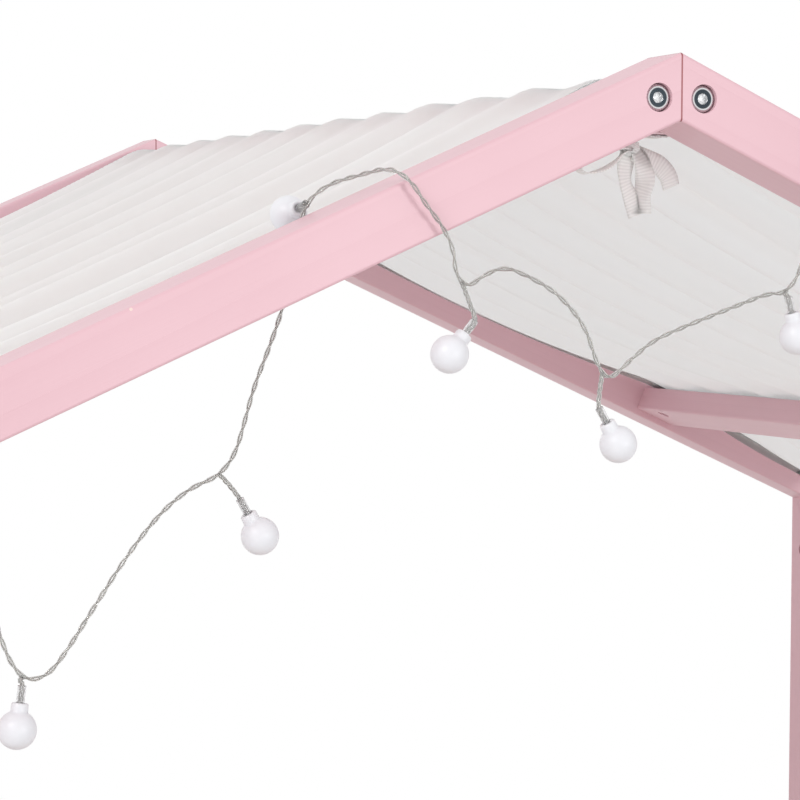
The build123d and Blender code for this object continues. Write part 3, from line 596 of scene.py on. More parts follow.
def repeatTree():
    tree, given, result = newGroup(
        "repeatAtPlaces",
        [("Places", "NodeSocketGeometry", None), ("Piece", "NodeSocketObject", None),
         ("Size", "NodeSocketFloat", 1.0), ("Turn", "NodeSocketFloat", 0.0), ("Seed", "NodeSocketInt", 4),
         ("Finish", "NodeSocketMaterial", None)],
        [("Pieces", "NodeSocketGeometry")], "GeometryNodeTree")
    nodes = tree.nodes
    outward = nodes.new("GeometryNodeInputNamedAttribute")
    outward.data_type = "FLOAT_VECTOR"
    outward.inputs["Name"].default_value = "outward"
    aim = nodes.new("FunctionNodeAlignRotationToVector")
    aim.axis = "Z"
    chance = nodes.new("FunctionNodeRandomValue")
    chance.data_type = "FLOAT"
    spin = nodes.new("FunctionNodeAxisAngleToRotation")
    spin.inputs["Axis"].default_value = (0, 0, 1)
    both = nodes.new("FunctionNodeRotateRotation")
    both.rotation_space = "LOCAL"
    source = nodes.new("GeometryNodeObjectInfo")
    repeat = nodes.new("GeometryNodeInstanceOnPoints")
    linked(tree, (outward.outputs["Attribute"], aim.inputs["Vector"]),
           (given.outputs["Turn"], chance.inputs[3]), (given.outputs["Seed"], chance.inputs["Seed"]),
           (chance.outputs[1], spin.inputs["Angle"]), (aim.outputs[0], both.inputs[0]),
           (spin.outputs[0], both.inputs[1]), (given.outputs["Piece"], source.inputs["Object"]),
           (given.outputs["Places"], repeat.inputs["Points"]),
           (source.outputs["Geometry"], repeat.inputs["Instance"]),
           (both.outputs[0], repeat.inputs["Rotation"]), (given.outputs["Size"], repeat.inputs["Scale"]))
    return finishedTree(tree, given, result, repeat)


def stitchTree():
    tree, given, result = newGroup(
        "stitchRows",
        [("Rows", "NodeSocketGeometry", None), ("Pitch", "NodeSocketFloat", 0.004),
         ("Length", "NodeSocketFloat", 0.0028), ("Thread", "NodeSocketFloat", 0.00025),
         ("Finish", "NodeSocketMaterial", None)],
        [("Stitches", "NodeSocketGeometry")], "GeometryNodeTree")
    nodes = tree.nodes
    curve = nodes.new("GeometryNodeMeshToCurve")
    spaced = nodes.new("GeometryNodeResampleCurve")
    spaced.mode = "LENGTH"
    aim = nodes.new("FunctionNodeAlignRotationToVector")
    aim.axis = "Z"
    along = nodes.new("GeometryNodeInputTangent")
    stitch = nodes.new("GeometryNodeMeshCylinder")
    stitch.inputs["Vertices"].default_value = 5
    repeat = nodes.new("GeometryNodeInstanceOnPoints")
    linked(tree, (given.outputs["Rows"], curve.inputs[0]), (curve.outputs[0], spaced.inputs["Curve"]),
           (given.outputs["Pitch"], spaced.inputs["Length"]), (along.outputs[0], aim.inputs["Vector"]),
           (given.outputs["Thread"], stitch.inputs["Radius"]),
           (given.outputs["Length"], stitch.inputs["Depth"]), (spaced.outputs[0], repeat.inputs["Points"]),
           (stitch.outputs["Mesh"], repeat.inputs["Instance"]), (aim.outputs[0], repeat.inputs["Rotation"]))
    return finishedTree(tree, given, result, repeat)


repeatAtPlaces = repeatTree()
stitchRows = stitchTree()


def nodesApplied(piece, tree, values):
    modifier = piece.modifiers.new(tree.name, "NODES")
    modifier.node_group = tree
    for item in tree.interface.items_tree:
        if item.in_out == "INPUT" and item.name in values:
            modifier[item.identifier] = values[item.name]
    return applied(piece)


def repeated(name, source, places, finish, turn=0.0, smooth=True):
    # the source piece at each (point, outward) place, as one mesh; the source is removed
    holder = newPiece(name, [point for point, _ in places], [])
    outward = holder.data.attributes.new("outward", "FLOAT_VECTOR", "POINT")
    for index, (_, way) in enumerate(places):
        outward.data[index].vector = way
    piece = nodesApplied(holder, repeatAtPlaces, {"Piece": source, "Size": 1.0, "Turn": turn, "Seed": 4,
                                                  "Finish": finish})
    piece.data.polygons.foreach_set("use_smooth", [smooth] * len(piece.data.polygons))
    bpy.data.objects.remove(source)
    return piece


def settled(piece, body, slot, *nodes):
    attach(piece, body)
    if nodes:
        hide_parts(*nodes)
    return piece


# Light string: the route's points in millimetres, from the battery case to the last light
wirePoints = [
    (-594.15, -425, 965), (-594.15, -425, 977), (-592, -420, 992.5), (-588, -410, 1009),
    (-582, -402, 1027), (-575.5, -402.5, 1048), (-568, -402, 1068), (-556, -405, 1083),
    (-537, -417, 1091), (-510, -426, 1098.5), (-480, -428.5, 1111), (-450, -424.5, 1123.5),
    (-421, -427, 1137), (-396, -422, 1149), (-376, -412, 1159.5), (-361, -402, 1162),
    (-353, -402, 1149), (-348, -402.5, 1129), (-340.5, -402.5, 1106.5), (-334, -402.5, 1084),
    (-328, -402.5, 1064.5), (-324, -402.5, 1049), (-319.5, -402.5, 1037), (-312.5, -402.5, 1028),
    (-302.5, -402.5, 1029), (-293.5, -402.5, 1039.5), (-280, -402.5, 1060), (-264.5, -402.5, 1083),
    (-249, -402.5, 1102), (-234, -402.5, 1113.5), (-221, -402.5, 1118), (-212.5, -402.5, 1127.5),
    (-208, -402.5, 1142), (-203, -402.5, 1160), (-195.5, -402.5, 1178), (-189, -402.5, 1196),
    (-184, -402.5, 1214), (-181, -402, 1231), (-178, -403, 1246), (-169, -410, 1255),
    (-159, -424, 1258.5), (-151, -439, 1262), (-144.5, -449.5, 1256.5), (-136.5, -449.5, 1245),
    (-127, -448.5, 1234.5), (-121.5, -448, 1224), (-120.5, -448, 1212.5), (-114.5, -448, 1206.5),
    (-105.5, -448, 1213), (-95.5, -448, 1216.5), (-85, -448, 1213), (-68, -448, 1204.5),
    (-53, -448, 1188.5), (-47.5, -448, 1171.5), (-41, -448, 1162.5), (-31, -448, 1171),
    (-18, -448, 1181.5), (0, -448, 1188.5), (30, -448, 1199), (46, -448, 1204.5),
    (55.5, -448, 1204.5), (63.5, -448, 1213.5), (66.5, -448.5, 1228), (70, -449, 1247),
    (75.5, -449.5, 1267), (83, -449.5, 1287), (92, -440, 1292), (102, -424, 1285),
    (110.5, -408, 1280), (118, -401.5, 1269), (121.5, -402.5, 1250), (126, -402.5, 1229),
    (132, -402.5, 1207), (140, -402.5, 1187), (150, -402.5, 1172), (162, -402.5, 1165.5),
    (175, -402.5, 1167.5), (189, -402.5, 1174), (206, -402.5, 1178), (222, -402.5, 1183),
    (233, -402.5, 1194), (239.5, -402, 1210), (248, -403.5, 1222.5), (260, -415, 1217),
    (270, -431, 1212.5), (279.5, -447.5, 1206.5), (286, -450, 1190), (290.5, -449, 1170),
    (295, -448.5, 1152), (298, -448.5, 1135),
]
# Each light: the globe's middle, where its lead leaves the wire and, where it is bent, the lead's bend
lights = [
    {"globe": (-316.5, -404, 1006), "near": (-313.5, -402.5, 1030)},
    {"globe": (-200, -403, 1090), "near": (-220, -402.5, 1118.5), "bend": (-213.7, -402.5, 1114.3)},
    {"globe": (-178.6, -382, 1241.2), "near": (-178, -403, 1246)},
    {"globe": (-124.2, -450, 1176), "near": (-116, -448, 1211), "bend": (-110.0, -449, 1192.9)},
    {"globe": (-35.8, -449, 1132.6), "near": (-43, -448, 1167.5), "bend": (-48.0, -449, 1152.9)},
    {"globe": (62.9, -448, 1183.4), "near": (57, -448, 1205.5)},
    {"globe": (143, -388, 1262), "near": (118, -401.5, 1269)},
    {"globe": (165, -404, 1129), "near": (162, -402.5, 1166.5)},
    {"globe": (268, -388, 1199.5), "near": (248, -403.5, 1221)},
    {"globe": (302, -450, 1099), "near": (298, -448.5, 1135)},
]
# A twist is the strands' distance from the middle, their pitch and their number
wireSettings = {"diameter": 2.6, "length": 1.587, "step": 1.5, "twist": (0.64, 16.6, 2), "strand": 0.6,
                "core": 0.24, "leadStep": 0.9, "leadTwist": (0.75, 11.0, 3), "leadStrand": 0.5,
                "leadCore": 0.18, "leadBow": 1.2, "bendFrom": 8.0}
globeSettings = {"radius": 9.0, "neck": 4.0, "neckFoot": -12.2, "mouth": 2.1, "sleeve": 1.95,
                 "sleeveReach": 8.0, "sleeveStep": 1.2, "sleeveInside": 1.5, "leadInside": 2.0,
                 "led": [(2.5, -10), (2.5, -4.4), (2.2, -3.2), (1.4, -2.3), (0.4, -2.0)]}


def routeLine(points):
    # the points of a smooth NURBS spline
    curve = bpy.data.curves.new("wireRoute", "CURVE")
    curve.dimensions = "3D"
    spline = curve.splines.new("NURBS")
    spline.points.add(len(points) - 1)
    for point, place in zip(spline.points, points):
        point.co = (*mm(*place), 1)
    spline.order_u = 3
    spline.use_endpoint_u = True
    spline.resolution_u = 12
    holder = bpy.data.objects.new("wireRoute", curve)
    scene.collection.objects.link(holder)
    graph = bpy.context.evaluated_depsgraph_get()
    mesh = bpy.data.meshes.new_from_object(holder.evaluated_get(graph))
    line = [vertex.co.copy() for vertex in mesh.vertices]
    bpy.data.objects.remove(holder)
    return line


wireLine = evenPath(routeLine(wirePoints), wireSettings["step"] * millimetre)


def strands(path, twist, radius, sides):
    offset, pitch, count = twist
    return [tubeMesh(twisted(path, offset * millimetre, pitch * millimetre, 2 * math.pi * number / count),
                     radius * millimetre, sides) for number in range(count)]


lightWire = joinedPiece("lightWire", strands(wireLine, wireSettings["twist"], wireSettings["strand"], 8),
                        finishes["clearWire"])
wireCores = joinedPiece("wireCores", strands(wireLine, wireSettings["twist"], wireSettings["core"], 5),
                        finishes["wireCore"])


def lightPlaces():
    # globe middle, the way out through its neck, and the lead's path from the wire to the neck
    places = []
    for light in lights:
        globe, near = mm(*light["globe"]), mm(*light["near"])
        start = min(wireLine, key=lambda point: (point - near).length)
        bend = mm(*light["bend"]) if "bend" in light else None
        aim = (bend or start) - globe
        mouth = globe + aim.normalized() * (-globeSettings["neckFoot"] * millimetre)
        top = mouth + aim.normalized() * (globeSettings["sleeveReach"] * millimetre)
        inside = mouth - aim.normalized() * (globeSettings["leadInside"] * millimetre)
        middle = start.lerp(top, 0.5)
        if bend and (top - start).length > wireSettings["bendFrom"] * millimetre:
            middle = middle + (bend - middle) * 0.25
        else:
            across = aim.cross(Vector((0.3, 1, 0.2))).normalized()
            middle = middle + across * (wireSettings["leadBow"] * millimetre)
        path = smoothPath([start, middle, top, mouth, inside], 8)
        places.append((globe, aim.normalized(), path, top, mouth))
    return places


lightSpots = lightPlaces()
leadTubes, coreTubes, sleeveTubes = [], [], []
for globe, aim, path, top, mouth in lightSpots:
    line = evenPath(path, wireSettings["leadStep"] * millimetre)
    leadTubes += strands(line, wireSettings["leadTwist"], wireSettings["leadStrand"], 7)
    coreTubes += strands(line, wireSettings["leadTwist"], wireSettings["leadCore"], 5)
    sleeveFoot = mouth - aim * (globeSettings["sleeveInside"] * millimetre)
    sleeveLine = evenPath([top, sleeveFoot], globeSettings["sleeveStep"] * millimetre)
    sleeveTubes.append(tubeMesh(sleeveLine, globeSettings["sleeve"] * millimetre, 20))
lightLeads = joinedPiece("lightLeads", leadTubes, finishes["clearWire"])
leadCores = joinedPiece("leadCores", coreTubes, finishes["wireCore"])
lightSleeves = joinedPiece("lightSleeves", sleeveTubes, finishes["clearSleeve"])


def globeProfile(settings):
    radius, neck, foot, mouth = (settings[key] for key in ("radius", "neck", "neckFoot", "mouth"))
    profile = [(mouth, foot + 1.0), (mouth, foot), (neck - 0.5, foot), (neck, foot + 0.5), (neck, foot + 2.4)]
    start = math.asin((neck + 0.35) / radius)
    profile.append((neck + 0.12, -radius * math.cos(start) - 0.3))
    for step in range(25):
        angle = start + (math.pi - start) * step / 24
        profile.append((max(radius * math.sin(angle), 0.02), -radius * math.cos(angle)))
    return [(r * millimetre, z * millimetre) for r, z in profile]


globePlaces = [(globe, -aim) for globe, aim, _, _, _ in lightSpots]
globeShape = newPiece("globeShape", *turned(globeProfile(globeSettings), 40))
lightGlobes = repeated("lightGlobes", globeShape, globePlaces, finishes["frostedGlobe"])
ledProfile = [(r * millimetre, z * millimetre) for r, z in globeSettings["led"]]
ledShape = newPiece("ledShape", *turned(ledProfile, 20))
lightLeds = repeated("lightLeds", ledShape, globePlaces, finishes["ledResin"])

settled(lightWire, bedBody, "clear_plastic", "light_wire")
settled(wireCores, bedBody, "clear_plastic")
settled(lightLeads, bedBody, "clear_plastic", "light_sleeves")
settled(leadCores, bedBody, "clear_plastic")
settled(lightSleeves, bedBody, "clear_plastic")
settled(lightGlobes, bedBody, "frosted_plastic", "light_globes")
settled(lightLeds, bedBody, "led_resin", "light_leds")
print("light string hung")


# Cloth roof: one sheet over the ridge and both purlins
clothSettings = {"across": 220, "along": 190, "thickness": 0.0009, "halfFolds": 23, "beamFold": 0.0017,
                 "spanFold": 0.0080, "creases": 0.0018, "sag": 0.012, "lift": 0.0029, "hemX": 0.598,
                 "rafterGap": 0.003, "hemWidth": 0.013, "sway": 0.006, "swayNoise": 0.004, "hemPull": 0.0015,
                 "eaveDrop": 0.0257, "eaveRise": 0.0138, "length": 1.318, "width": 0.848}


def foldEdges():
    count = clothSettings["halfFolds"]
    widths = [1 + 0.28 * math.sin(2.1 * index + 0.4) for index in range(count)]
    heights = [1 - 0.35 * (1 + math.sin(1.7 * index + 1.2)) / 2 for index in range(count)]
    half = innerY - clothSettings["rafterGap"]
    marks = [-half]
    for width in widths:
        marks.append(marks[-1] + width * 2 * half / sum(widths))
    return marks, [height if index % 2 == 0 else -height for index, height in enumerate(heights)]


foldMarks, foldHeights = foldEdges()
battenDrop = 0.005
purlinHalf = (purlinBox[1].x - purlinBox[0].x) / 2 - 0.004


def clothDrop(x):
    # how far the sheet lies below the rafters' top plane
    lift = clothSettings["lift"]
    x = abs(x)
    upper, lower = purlinX - purlinHalf, purlinX + purlinHalf
    if x < upper:
        share = max(0.0, (x - ridgeHalf) / (upper - ridgeHalf))
        return battenDrop - lift + clothSettings["sag"] * 4 * share * (1 - share)
    if x < lower:
        return battenDrop - lift
    share = (x - lower) / (clothSettings["hemX"] - lower)
    return battenDrop - lift + clothSettings["eaveDrop"] * share - clothSettings["eaveRise"] * share * share


def sheetHeight(x):
    if abs(x) < ridgeHalf:
        return ridgeTop + clothSettings["lift"]
    return roofHeight(x, clothDrop(x))


def foldWave(y):
    y = min(max(y, foldMarks[0]), foldMarks[-1])
    for start, finish, height in zip(foldMarks, foldMarks[1:], foldHeights):
        if y <= finish:
            return height * math.sin(math.pi * (y - start) / (finish - start))
    return 0.0


def spanShare(x):
    # 0 on the beams, 1 between them
    x = abs(x)
    stops = (ridgeHalf, purlinX - purlinHalf, purlinX + purlinHalf, clothSettings["hemX"])
    if x < stops[0] or stops[1] <= x <= stops[2]:
        return 0.0
    if x < stops[1]:
        return math.sin(math.pi * (x - stops[0]) / (stops[1] - stops[0])) ** 0.8
    return math.sin(math.pi / 2 * (x - stops[2]) / (stops[3] - stops[2])) ** 0.8


def clothPoint(x, y, offset=0.0):
    settings = clothSettings
    free = spanShare(x)
    edge = 1 - (abs(y) / foldMarks[-1]) ** 8
    wander = settings["sway"] * edge * math.sin(4.1 * x + 2.3)
    wander += settings["swayNoise"] * edge * noise.noise(Vector((x * 5, y * 2, 1.7)))
    depth = settings["beamFold"] + (settings["spanFold"] - settings["beamFold"]) * free
    height = foldWave(y + wander) * depth
    crease = noise.noise(Vector((x * 2.6, y * 34, 0.7))) + 0.4 * noise.noise(Vector((x * 7, y * 75, 4.2)))
    height += crease * settings["creases"] * (0.15 + 0.85 * free)
    tilt = roofSlope * min(1.0, abs(x) / (ridgeHalf * 2))
    side = 1 if x > 0 else -1
    reach = min(1.0, abs(x) / settings["hemX"])
    pull = settings["hemPull"] * free * math.sin(y * 30) * (reach ** 6)
    height += offset
    outward = side * (math.sin(tilt) * height - max(0.0, pull))
    return Vector((x + outward, y, sheetHeight(x) + math.cos(tilt) * height))


def clothPatch(name, xs, ys, offset, material):
    vertices = [clothPoint(x, y, offset) for x in xs for y in ys]
    uvs = [(x / math.cos(roofSlope), y) for x in xs for y in ys]
    row = len(ys)
    faces = [[i * row + j, (i + 1) * row + j, (i + 1) * row + j + 1, i * row + j + 1]
             for i in range(len(xs) - 1) for j in range(row - 1)]
    return newPiece(name, vertices, faces, material, uvs)


def spread(low, high, count):
    return [low + (high - low) * index / (count - 1) for index in range(count)]


hemX, hemY = clothSettings["hemX"], foldMarks[-1]
clothXs = spread(-hemX, hemX, clothSettings["across"])
clothYs = spread(-hemY, hemY, clothSettings["along"])
canopy = clothPatch("canopyCloth", clothXs, clothYs, 0.0, finishes["canopyFabric"])
canopy = thicken(canopy, clothSettings["thickness"])

hemWidth, hemLayer = clothSettings["hemWidth"], clothSettings["thickness"]
hemPatches, stitchLines = [], []
for side in sides:
    ys = spread(side * (hemY - hemWidth), side * hemY, 4)
    xs = spread(side * (hemX - hemWidth), side * hemX, 4)
    hemPatches.append(clothPatch("hemFront", clothXs, sorted(ys), -hemLayer, finishes["canopyFabric"]))
    hemPatches.append(clothPatch("hemSide", sorted(xs), clothYs, -hemLayer, finishes["canopyFabric"]))
    for level in (hemLayer * 0.62, -hemLayer * 1.62):
        stitchLines.append([clothPoint(x, side * (hemY - hemWidth * 0.85), level) for x in clothXs])
        stitchLines.append([clothPoint(side * (hemX - hemWidth * 0.85), y, level) for y in clothYs])


canopyHem = mergedPieces("canopyHem", [thicken(patch, hemLayer * 0.9) for patch in hemPatches])
rowVertices, rowEdges = [], []
for line in stitchLines:
    rowEdges += [(len(rowVertices) + i, len(rowVertices) + i + 1) for i in range(len(line) - 1)]
    rowVertices += line
rowMesh = bpy.data.meshes.new("hemStitches")
rowMesh.from_pydata([tuple(v) for v in rowVertices], rowEdges, [])
hemStitches = bpy.data.objects.new("hemStitches", rowMesh)
scene.collection.objects.link(hemStitches)
hemStitches = nodesApplied(hemStitches, stitchRows, {"Pitch": 0.0042, "Length": 0.0029, "Thread": 0.00022,
                                                     "Finish": finishes["whiteTape"]})
settled(canopy, bedBody, "canopy_fabric", "canopy_cloth")
settled(canopyHem, bedBody, "canopy_fabric")
settled(hemStitches, bedBody, "canopy_fabric")
print("cloth roof laid")


# Tapes that hold the cloth
tapeSettings = {"width": 0.010, "thickness": 0.0008, "steps": 9, "ribbonAcross": 5}


def ribbon(knots, widths, origin=Vector((0, 0, 0)), width=None):
    # a tape through the knots, whose width runs along the given directions
    width = width or tapeSettings["width"]
    centre = smoothPath([mm(*knot) for knot in knots], tapeSettings["steps"])
    lie = smoothPath([Vector(way).normalized() for way in widths], tapeSettings["steps"])
    vertices, uvs, faces, run = [], [], [], 0.0
    across = tapeSettings["ribbonAcross"]
    for index, (point, way) in enumerate(zip(centre, lie)):
        if index:
            run += (point - centre[index - 1]).length
        tangent = centre[min(index + 1, len(centre) - 1)] - centre[max(index - 1, 0)]
        way = (way - tangent * (way.dot(tangent) / max(tangent.length_squared, 1e-12))).normalized()
        curl = tangent.cross(way).normalized()
        for step in range(across):
            share = step / (across - 1) - 0.5
            vertices.append(origin + point + way * (share * width) + curl * (0.0009 * (0.25 - share * share)))
            uvs.append((run, share * width))
    for index in range(len(centre) - 1):
        for step in range(across - 1):
            low, high = index * across, (index + 1) * across
            faces.append([low + step, low + step + 1, high + step + 1, high + step])
    piece = newPiece("tape", vertices, faces, finishes["whiteTape"], uvs)
    return thicken(piece, tapeSettings["thickness"])


def knotBall(centre, radii, seed):
    # a small lumpy knot
    profile = [(max(math.sin(math.pi * i / 14), 0.02), -math.cos(math.pi * i / 14)) for i in range(15)]
    vertices, faces = turned(profile, 24)
    shaped, uvs = [], []
    for vertex in vertices:
        lump = 1 + 0.16 * noise.noise(vertex * 1.7 + Vector((seed, 0, 0)))
        lump += 0.05 * math.sin(vertex.z * 9 + vertex.x * 4)
        swollen = Vector([value * radius for value, radius in zip(vertex, radii)])
        shaped.append(swollen * lump * millimetre + centre)
        uvs.append((vertex.z * 0.006 + vertex.x * 0.002, vertex.y * 0.005))
    return newPiece("knot", shaped, faces, finishes["whiteTape"], uvs)


def ridgeTie(end):
    origin = Vector((0, end * (innerY - 0.019), ridgeBottom))
    flat = (0, 1, 0)
    side = ridgeHalf / millimetre + 0.9
    high = (ridgeTop - ridgeBottom) / millimetre - 0.8
    around = [(-side, 0, high), (-side, 0, 8), (-side, 0, 0.6), (-side + 1.5, 0, -1), (-8, 0, -1.1),
              (0, 0, -2), (8, 0, -1.1), (side - 1.5, 0, -1), (side, 0, 0.6), (side, 0, 8), (side, 0, high)]
    loop = [(0, 0, -7.5), (-8, -1, -7.5), (-18, -1, -9), (-26, 0, -13.5), (-27.5, 0.5, -18),
            (-22, 0, -20), (-12, 0, -17), (-4, 0, -11), (0, 0, -8.5)]
    longTail = [(2, 1.5, -5), (5.5, -1, -10), (8.0, -2, -17), (9.0, -1.5, -24), (8.0, 0, -31),
                (8.2, 0.5, -39.5)]
    pieces = [
        ribbon(around, [flat] * len(around), origin),
        ribbon(loop, [flat, flat, (0.1, 1, 0.2), (0, 1, 0.3), (0, 1, 0.2), flat, flat, (0, 1, -0.3), flat],
               origin),
        ribbon(longTail, [(1, 0.4, 0), (1, 0.3, 0), (1, 0.1, 0.1), (0.7, -0.7, 0), (0.5, -0.9, 0),
                          (0.9, -0.4, 0.1)], origin),
        ribbon([(1, 0, -7), (-1, 0.5, -14), (-1, 1, -23), (2.5, 1.5, -32), (6, 1.5, -40.5)],
               [(0.9, 0.3, 0), (1, 0, 0.2), (0.9, 0.4, 0), (1, 0.2, 0.2), (0.9, -0.2, 0)], origin, 0.009),
        ribbon([(3, 0.5, -9), (10, 0, -12), (17, -0.5, -15), (22.5, 0, -20), (25, 0.5, -26)],
               [(0, 0.5, 1), (0.3, 0.1, 1), (0.5, 0, 0.9), (0.8, 0, 0.5), (0.9, 0.1, 0.45)], origin),
        knotBall(origin + mm(0.5, 0, -6.4), (5.2, 5.0, 4.6), 2.0 + end),
    ]
    return mergedPieces("ridgeTie", pieces)


def cornerTie(side, end):
    half = (outerX - postX) / millimetre + 0.85
    top = 1000.0
    near = half - 2
    ring = [(half, 0, top), (half, near, top), (near, half, top), (0, half, top), (-near, half, top),
            (-half, near, top), (-half, 0, top), (-half, -near, top), (-near, -half, top), (0, -half, top),
            (near, -half, top), (half, -near, top), (half, 0, top)]
    origin = Vector((side * postX, end * postY, 0))
    knot = mm(-side * (half + 2.5), -end * (half + 2.5), top)
    hem = Vector((side * (hemX - 0.002), end * (innerY - 0.014), sheetHeight(hemX) - 0.0045)) - origin
    rise = [tuple(v / millimetre) for v in (knot, knot.lerp(hem, 0.5) + Vector((side * 0.001, 0, 0)), hem)]
    kx, ky, kz = (value / millimetre for value in knot)
    tails = []
    for lean, reach in ((3, 30), (12, 27)):
        tails.append(ribbon([(kx, ky, kz), (kx - side * lean * 0.6, ky - end * 2.5, kz - reach * 0.45),
                             (kx - side * lean, ky - end * 3.5, kz - reach)],
                            [(1, 0.2, 0), (0.8, 0.5 * side, 0), (1, -0.2 * side, 0)], origin))
    pieces = [ribbon(ring, [(0, 0, 1)] * len(ring), origin),
              ribbon(rise, [(0, 1, 0)] * 3, origin), knotBall(origin + knot, (4.8, 4.8, 4.4), side * 3 + end)]
    return mergedPieces("cornerTie", pieces + tails)


for end, node in ((-1, "front_ridge_tie"), (1, "rear_ridge_tie")):
    tie = ridgeTie(end)
    tie.name = "frontRidgeTie" if end < 0 else "rearRidgeTie"
    settled(tie, bedBody, "white_tape", node)
cornerTies = mergedPieces("cornerTies", [cornerTie(side, -1) for side in sides])
settled(cornerTies, bedBody, "white_tape", "corner_ties")
print("tapes tied")


# Hexagon socket bolts
boltSettings = {"head": 13.0, "headHeight": 4.0, "face": 10.0, "dish": 0.25, "socket": 5.0,
                "socketDepth": 3.0, "shank": 6.0, "threadDepth": 0.35, "threadPitch": 1.0,
                # rings 3 and 4 of the profile are the head's flat face, which gets a painted dark reflection
                "threadLength": 24.0, "recess": 1.2, "segments": 36, "paintedReflectionRings": (3, 4), "ridgeLength": 50,
                "frameLength": 70, "rafterMid": 15.0, "purlinShift": 9.5, "postShift": 7.0,
                "sideStep": 30.0, "endStep": 15.0, "topStep": 9.0}


def boltProfile(length):
    settings = boltSettings
    head, top, face = settings["head"] / 2, settings["headHeight"], settings["face"] / 2
    socket, shank = settings["socket"] / 2, settings["shank"] / 2
    profile = [(0.3, top - settings["socketDepth"] - 0.5), (socket, top - settings["socketDepth"]),
               (socket, top - settings["dish"] - 0.15), (socket + 0.2, top - settings["dish"]),
               (face - 0.5, top - settings["dish"]), (face - 0.1, top - 0.1), (face + 0.2, top),
               (face + 0.4, top - 0.06), (head - 0.3, top - 0.75), (head, top - 1.2), (head, 0.25),
               (head - 0.25, 0.0), (shank + 0.2, 0.0), (shank, -0.3)]
    z = -(length - settings["threadLength"])
    profile.append((shank, z))
    while z > -(length - 1.5):
        profile += [(shank - settings["threadDepth"], z - settings["threadPitch"] * 0.45),
                    (shank, z - settings["threadPitch"] * 0.9)]
        z -= settings["threadPitch"]
    profile += [(shank - 0.6, -length), (0.3, -length)]
    return [(r * millimetre, z * millimetre) for r, z in profile]


def boltShape(length):
    segments = boltSettings["segments"]
    shape = newPiece("boltShape", *turned(boltProfile(length), segments, hexRings=(1, 2)))
    # the head's flat face is marked here for its painted dark reflection
    reflectionMark = shape.data.attributes.new("face", "FLOAT", "POINT")
    for index in range(len(shape.data.vertices)):
        reflectionMark.data[index].value = 1.0 if index // segments in boltSettings["paintedReflectionRings"] else 0.0
    return shape


headDepth = (boltSettings["headHeight"] + boltSettings["recess"]) * millimetre
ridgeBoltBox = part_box("ridge_bolts")
ridgeBoltX = ridgeBoltBox[1].x - boltSettings["head"] / 2 * millimetre
outerY = abs(frontY)
rafterMid = boltSettings["rafterMid"] * millimetre


def ridgeSeats():
    z = roofHeight(ridgeBoltX, rafterMid)
    return [(Vector((side * ridgeBoltX, end * (outerY - headDepth), z)), Vector((0, end, 0)))
            for side in sides for end in sides]


def roofSeats():
    places = []
    for side in sides:
        centre = Vector((side * purlinX, 0, roofHeight(purlinX, rafterMid)))
        downSlope = Vector((side * math.cos(roofSlope), 0, -math.sin(roofSlope)))
        centre -= downSlope * (boltSettings["purlinShift"] * millimetre)
        for end in sides:
            places.append((centre + Vector((0, end * (outerY - headDepth), 0)), Vector((0, end, 0))))
            z = roofHeight(postX + boltSettings["postShift"] * millimetre) - headDepth
            places.append((Vector((side * postX, end * postY, z)), Vector((0, 0, 1))))
    return places


def railSeats():
    steps = ("sideStep", "endStep", "topStep")
    sideStep, endStep, topStep = (boltSettings[step] * millimetre for step in steps)
    railZ = (sideRailBox[0].z + sideRailBox[1].z) / 2
    topZ = (topRailBox[0].z + topRailBox[1].z) / 2
    sideX, endY = outerX - headDepth, outerY - headDepth
    places = []
    for side in sides:
        for end in sides:
            for step in sides:
                places.append((Vector((side * sideX, end * postY, railZ + step * sideStep)),
                               Vector((side, 0, 0))))
                places.append((Vector((side * postX, end * endY, railZ + step * endStep)),
                               Vector((0, end, 0))))
            places.append((Vector((side * postX, end * endY, topZ - topStep)), Vector((0, end, 0))))
        places.append((Vector((side * sideX, postY, topZ + topStep)), Vector((side, 0, 0))))
    return places


for name, node, length, seats in (("ridgeBolts", "ridge_bolts", boltSettings["ridgeLength"], ridgeSeats()),
                                  ("roofBolts", "roof_bolts", boltSettings["frameLength"], roofSeats()),
                                  ("railBolts", "rail_bolts", boltSettings["frameLength"], railSeats())):
    bolts = repeated(name, boltShape(length), seats, finishes["brightSteel"], turn=1.0, smooth=False)
    settled(bolts, bedBody, "bright_steel", node)
print("bolts set")


# Finishes on the frame's own parts
nodeFinishes = {
    "paintAlongX": ["front_side_rail", "rear_side_rail", "rear_top_rail"],
    "paintAlongY": ["ridge_beam", "left_purlin", "right_purlin", "left_end_rail", "right_end_rail",
                    "left_top_rail", "right_top_rail"],
    "paintUpright": ["front_left_post", "front_right_post", "rear_left_post", "rear_right_post",
                     "left_spindles", "right_spindles", "rear_spindles"],
    "paintLeftSlope": ["front_left_rafter", "rear_left_rafter"],
    "paintRightSlope": ["front_right_rafter", "rear_right_rafter"],
    "pineAlongX": ["front_slat_ledger", "rear_slat_ledger"],
    "pineAlongY": [f"slat_{number}" for number in range(1, 11)],
    "beech": ["roof_dowels", "rail_dowels"],
    "brightSteel": ["base_screws", "roof_barrel_nuts", "rail_barrel_nuts"],
    "insertBrass": ["ridge_inserts"],
    "glidePlastic": ["post_glides"],
    "casePlastic": ["battery_case", "battery_cover", "light_switch_knob"],
    "switchPlastic": ["switch_body"],
    "cellJacket": ["battery_cells"],
    "contactSteel": ["battery_contacts"],
    "foamPad": ["case_pad"],
    "clearGrommet": ["wire_grommet"],
}
for finish, nodes in nodeFinishes.items():
    for node in nodes:
        piece = bpy.data.objects[node]
        piece.data.materials.clear()
        piece.data.materials.append(finishes[finish])
print("frame finished")


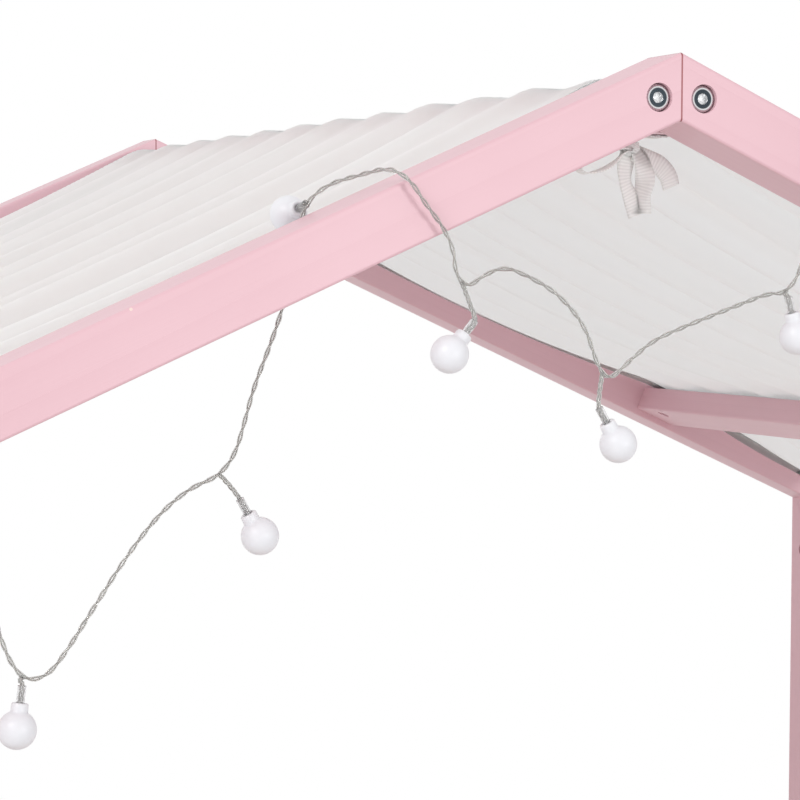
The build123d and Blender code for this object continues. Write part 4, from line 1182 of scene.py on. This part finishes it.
# Floor, background and studio light
studioSettings = {"floorRadius": 3.6, "fadeStart": 1.4, "fadeEnd": 3.3, "floor": 0.88, "sky": 0.76}
lampSettings = {"aim": (0, 0, 1.0), "size": 0.9, "lamps": {"leftBox": ((-3.0, -2.0, 3.2), 51),
                                                           "rightBox": ((1.3, -3.9, 1.4), 27)}}


def studioFloor(settings):
    count = 96
    rim = [(settings["floorRadius"] * math.cos(2 * math.pi * i / count),
            settings["floorRadius"] * math.sin(2 * math.pi * i / count), -0.0002) for i in range(count)]
    floor = newPiece("studioFloor", rim, [list(range(count))], smooth=False)
    material, tree, shader = newMaterial("studioFloor", Roughness=0.7)
    shader.inputs["Base Color"].default_value = (settings["floor"],) * 3 + (1,)
    white = tree.nodes.new("ShaderNodeEmission")
    distance = tree.nodes.new("ShaderNodeVectorMath")
    distance.operation = "LENGTH"
    tree.links.new(tree.nodes.new("ShaderNodeTexCoord").outputs["Object"], distance.inputs[0])
    fade = tree.nodes.new("ShaderNodeMapRange")
    fade.interpolation_type = "SMOOTHSTEP"
    fade.inputs["From Min"].default_value = settings["fadeStart"]
    fade.inputs["From Max"].default_value = settings["fadeEnd"]
    tree.links.new(distance.outputs["Value"], fade.inputs["Value"])
    seen = seenDirectly(tree)
    mix = tree.nodes.new("ShaderNodeMixShader")
    tree.links.new(scaled(tree, fade.outputs["Result"], seen), mix.inputs[0])
    tree.links.new(shader.outputs[0], mix.inputs[1])
    tree.links.new(white.outputs[0], mix.inputs[2])
    tree.links.new(mix.outputs[0], tree.nodes["Material Output"].inputs["Surface"])
    floor.data.materials.append(material)


def seenDirectly(tree):
    # 1 for camera, glossy and transmission rays
    rays = tree.nodes.new("ShaderNodeLightPath")
    both = mathNode(tree, "MAXIMUM", rays.outputs["Is Camera Ray"], rays.outputs["Is Glossy Ray"])
    return mathNode(tree, "MAXIMUM", both, rays.outputs["Is Transmission Ray"])


def studioSky(settings):
    world = bpy.data.worlds.new("studioSky")
    world.use_nodes = True
    tree = world.node_tree
    sky = tree.nodes["Background"]
    span = scaled(tree, seenDirectly(tree), 1 - settings["sky"])
    tree.links.new(mathNode(tree, "ADD", span, settings["sky"]), sky.inputs["Strength"])
    sky.inputs["Color"].default_value = (1, 1, 1, 1)
    scene.world = world


def softBox(name, place, power):
    data = bpy.data.lights.new(name, "AREA")
    data.shape = "SQUARE"
    data.size = lampSettings["size"]
    data.energy = power
    lamp = bpy.data.objects.new(name, data)
    scene.collection.objects.link(lamp)
    away = Vector(place) - Vector(lampSettings["aim"])
    lamp.matrix_world = Matrix.Translation(place) @ away.to_track_quat("Z", "Y").to_matrix().to_4x4()


studioFloor(studioSettings)
studioSky(studioSettings)
for lamp, (place, power) in lampSettings["lamps"].items():
    softBox(lamp, place, power)
print("studio lit")
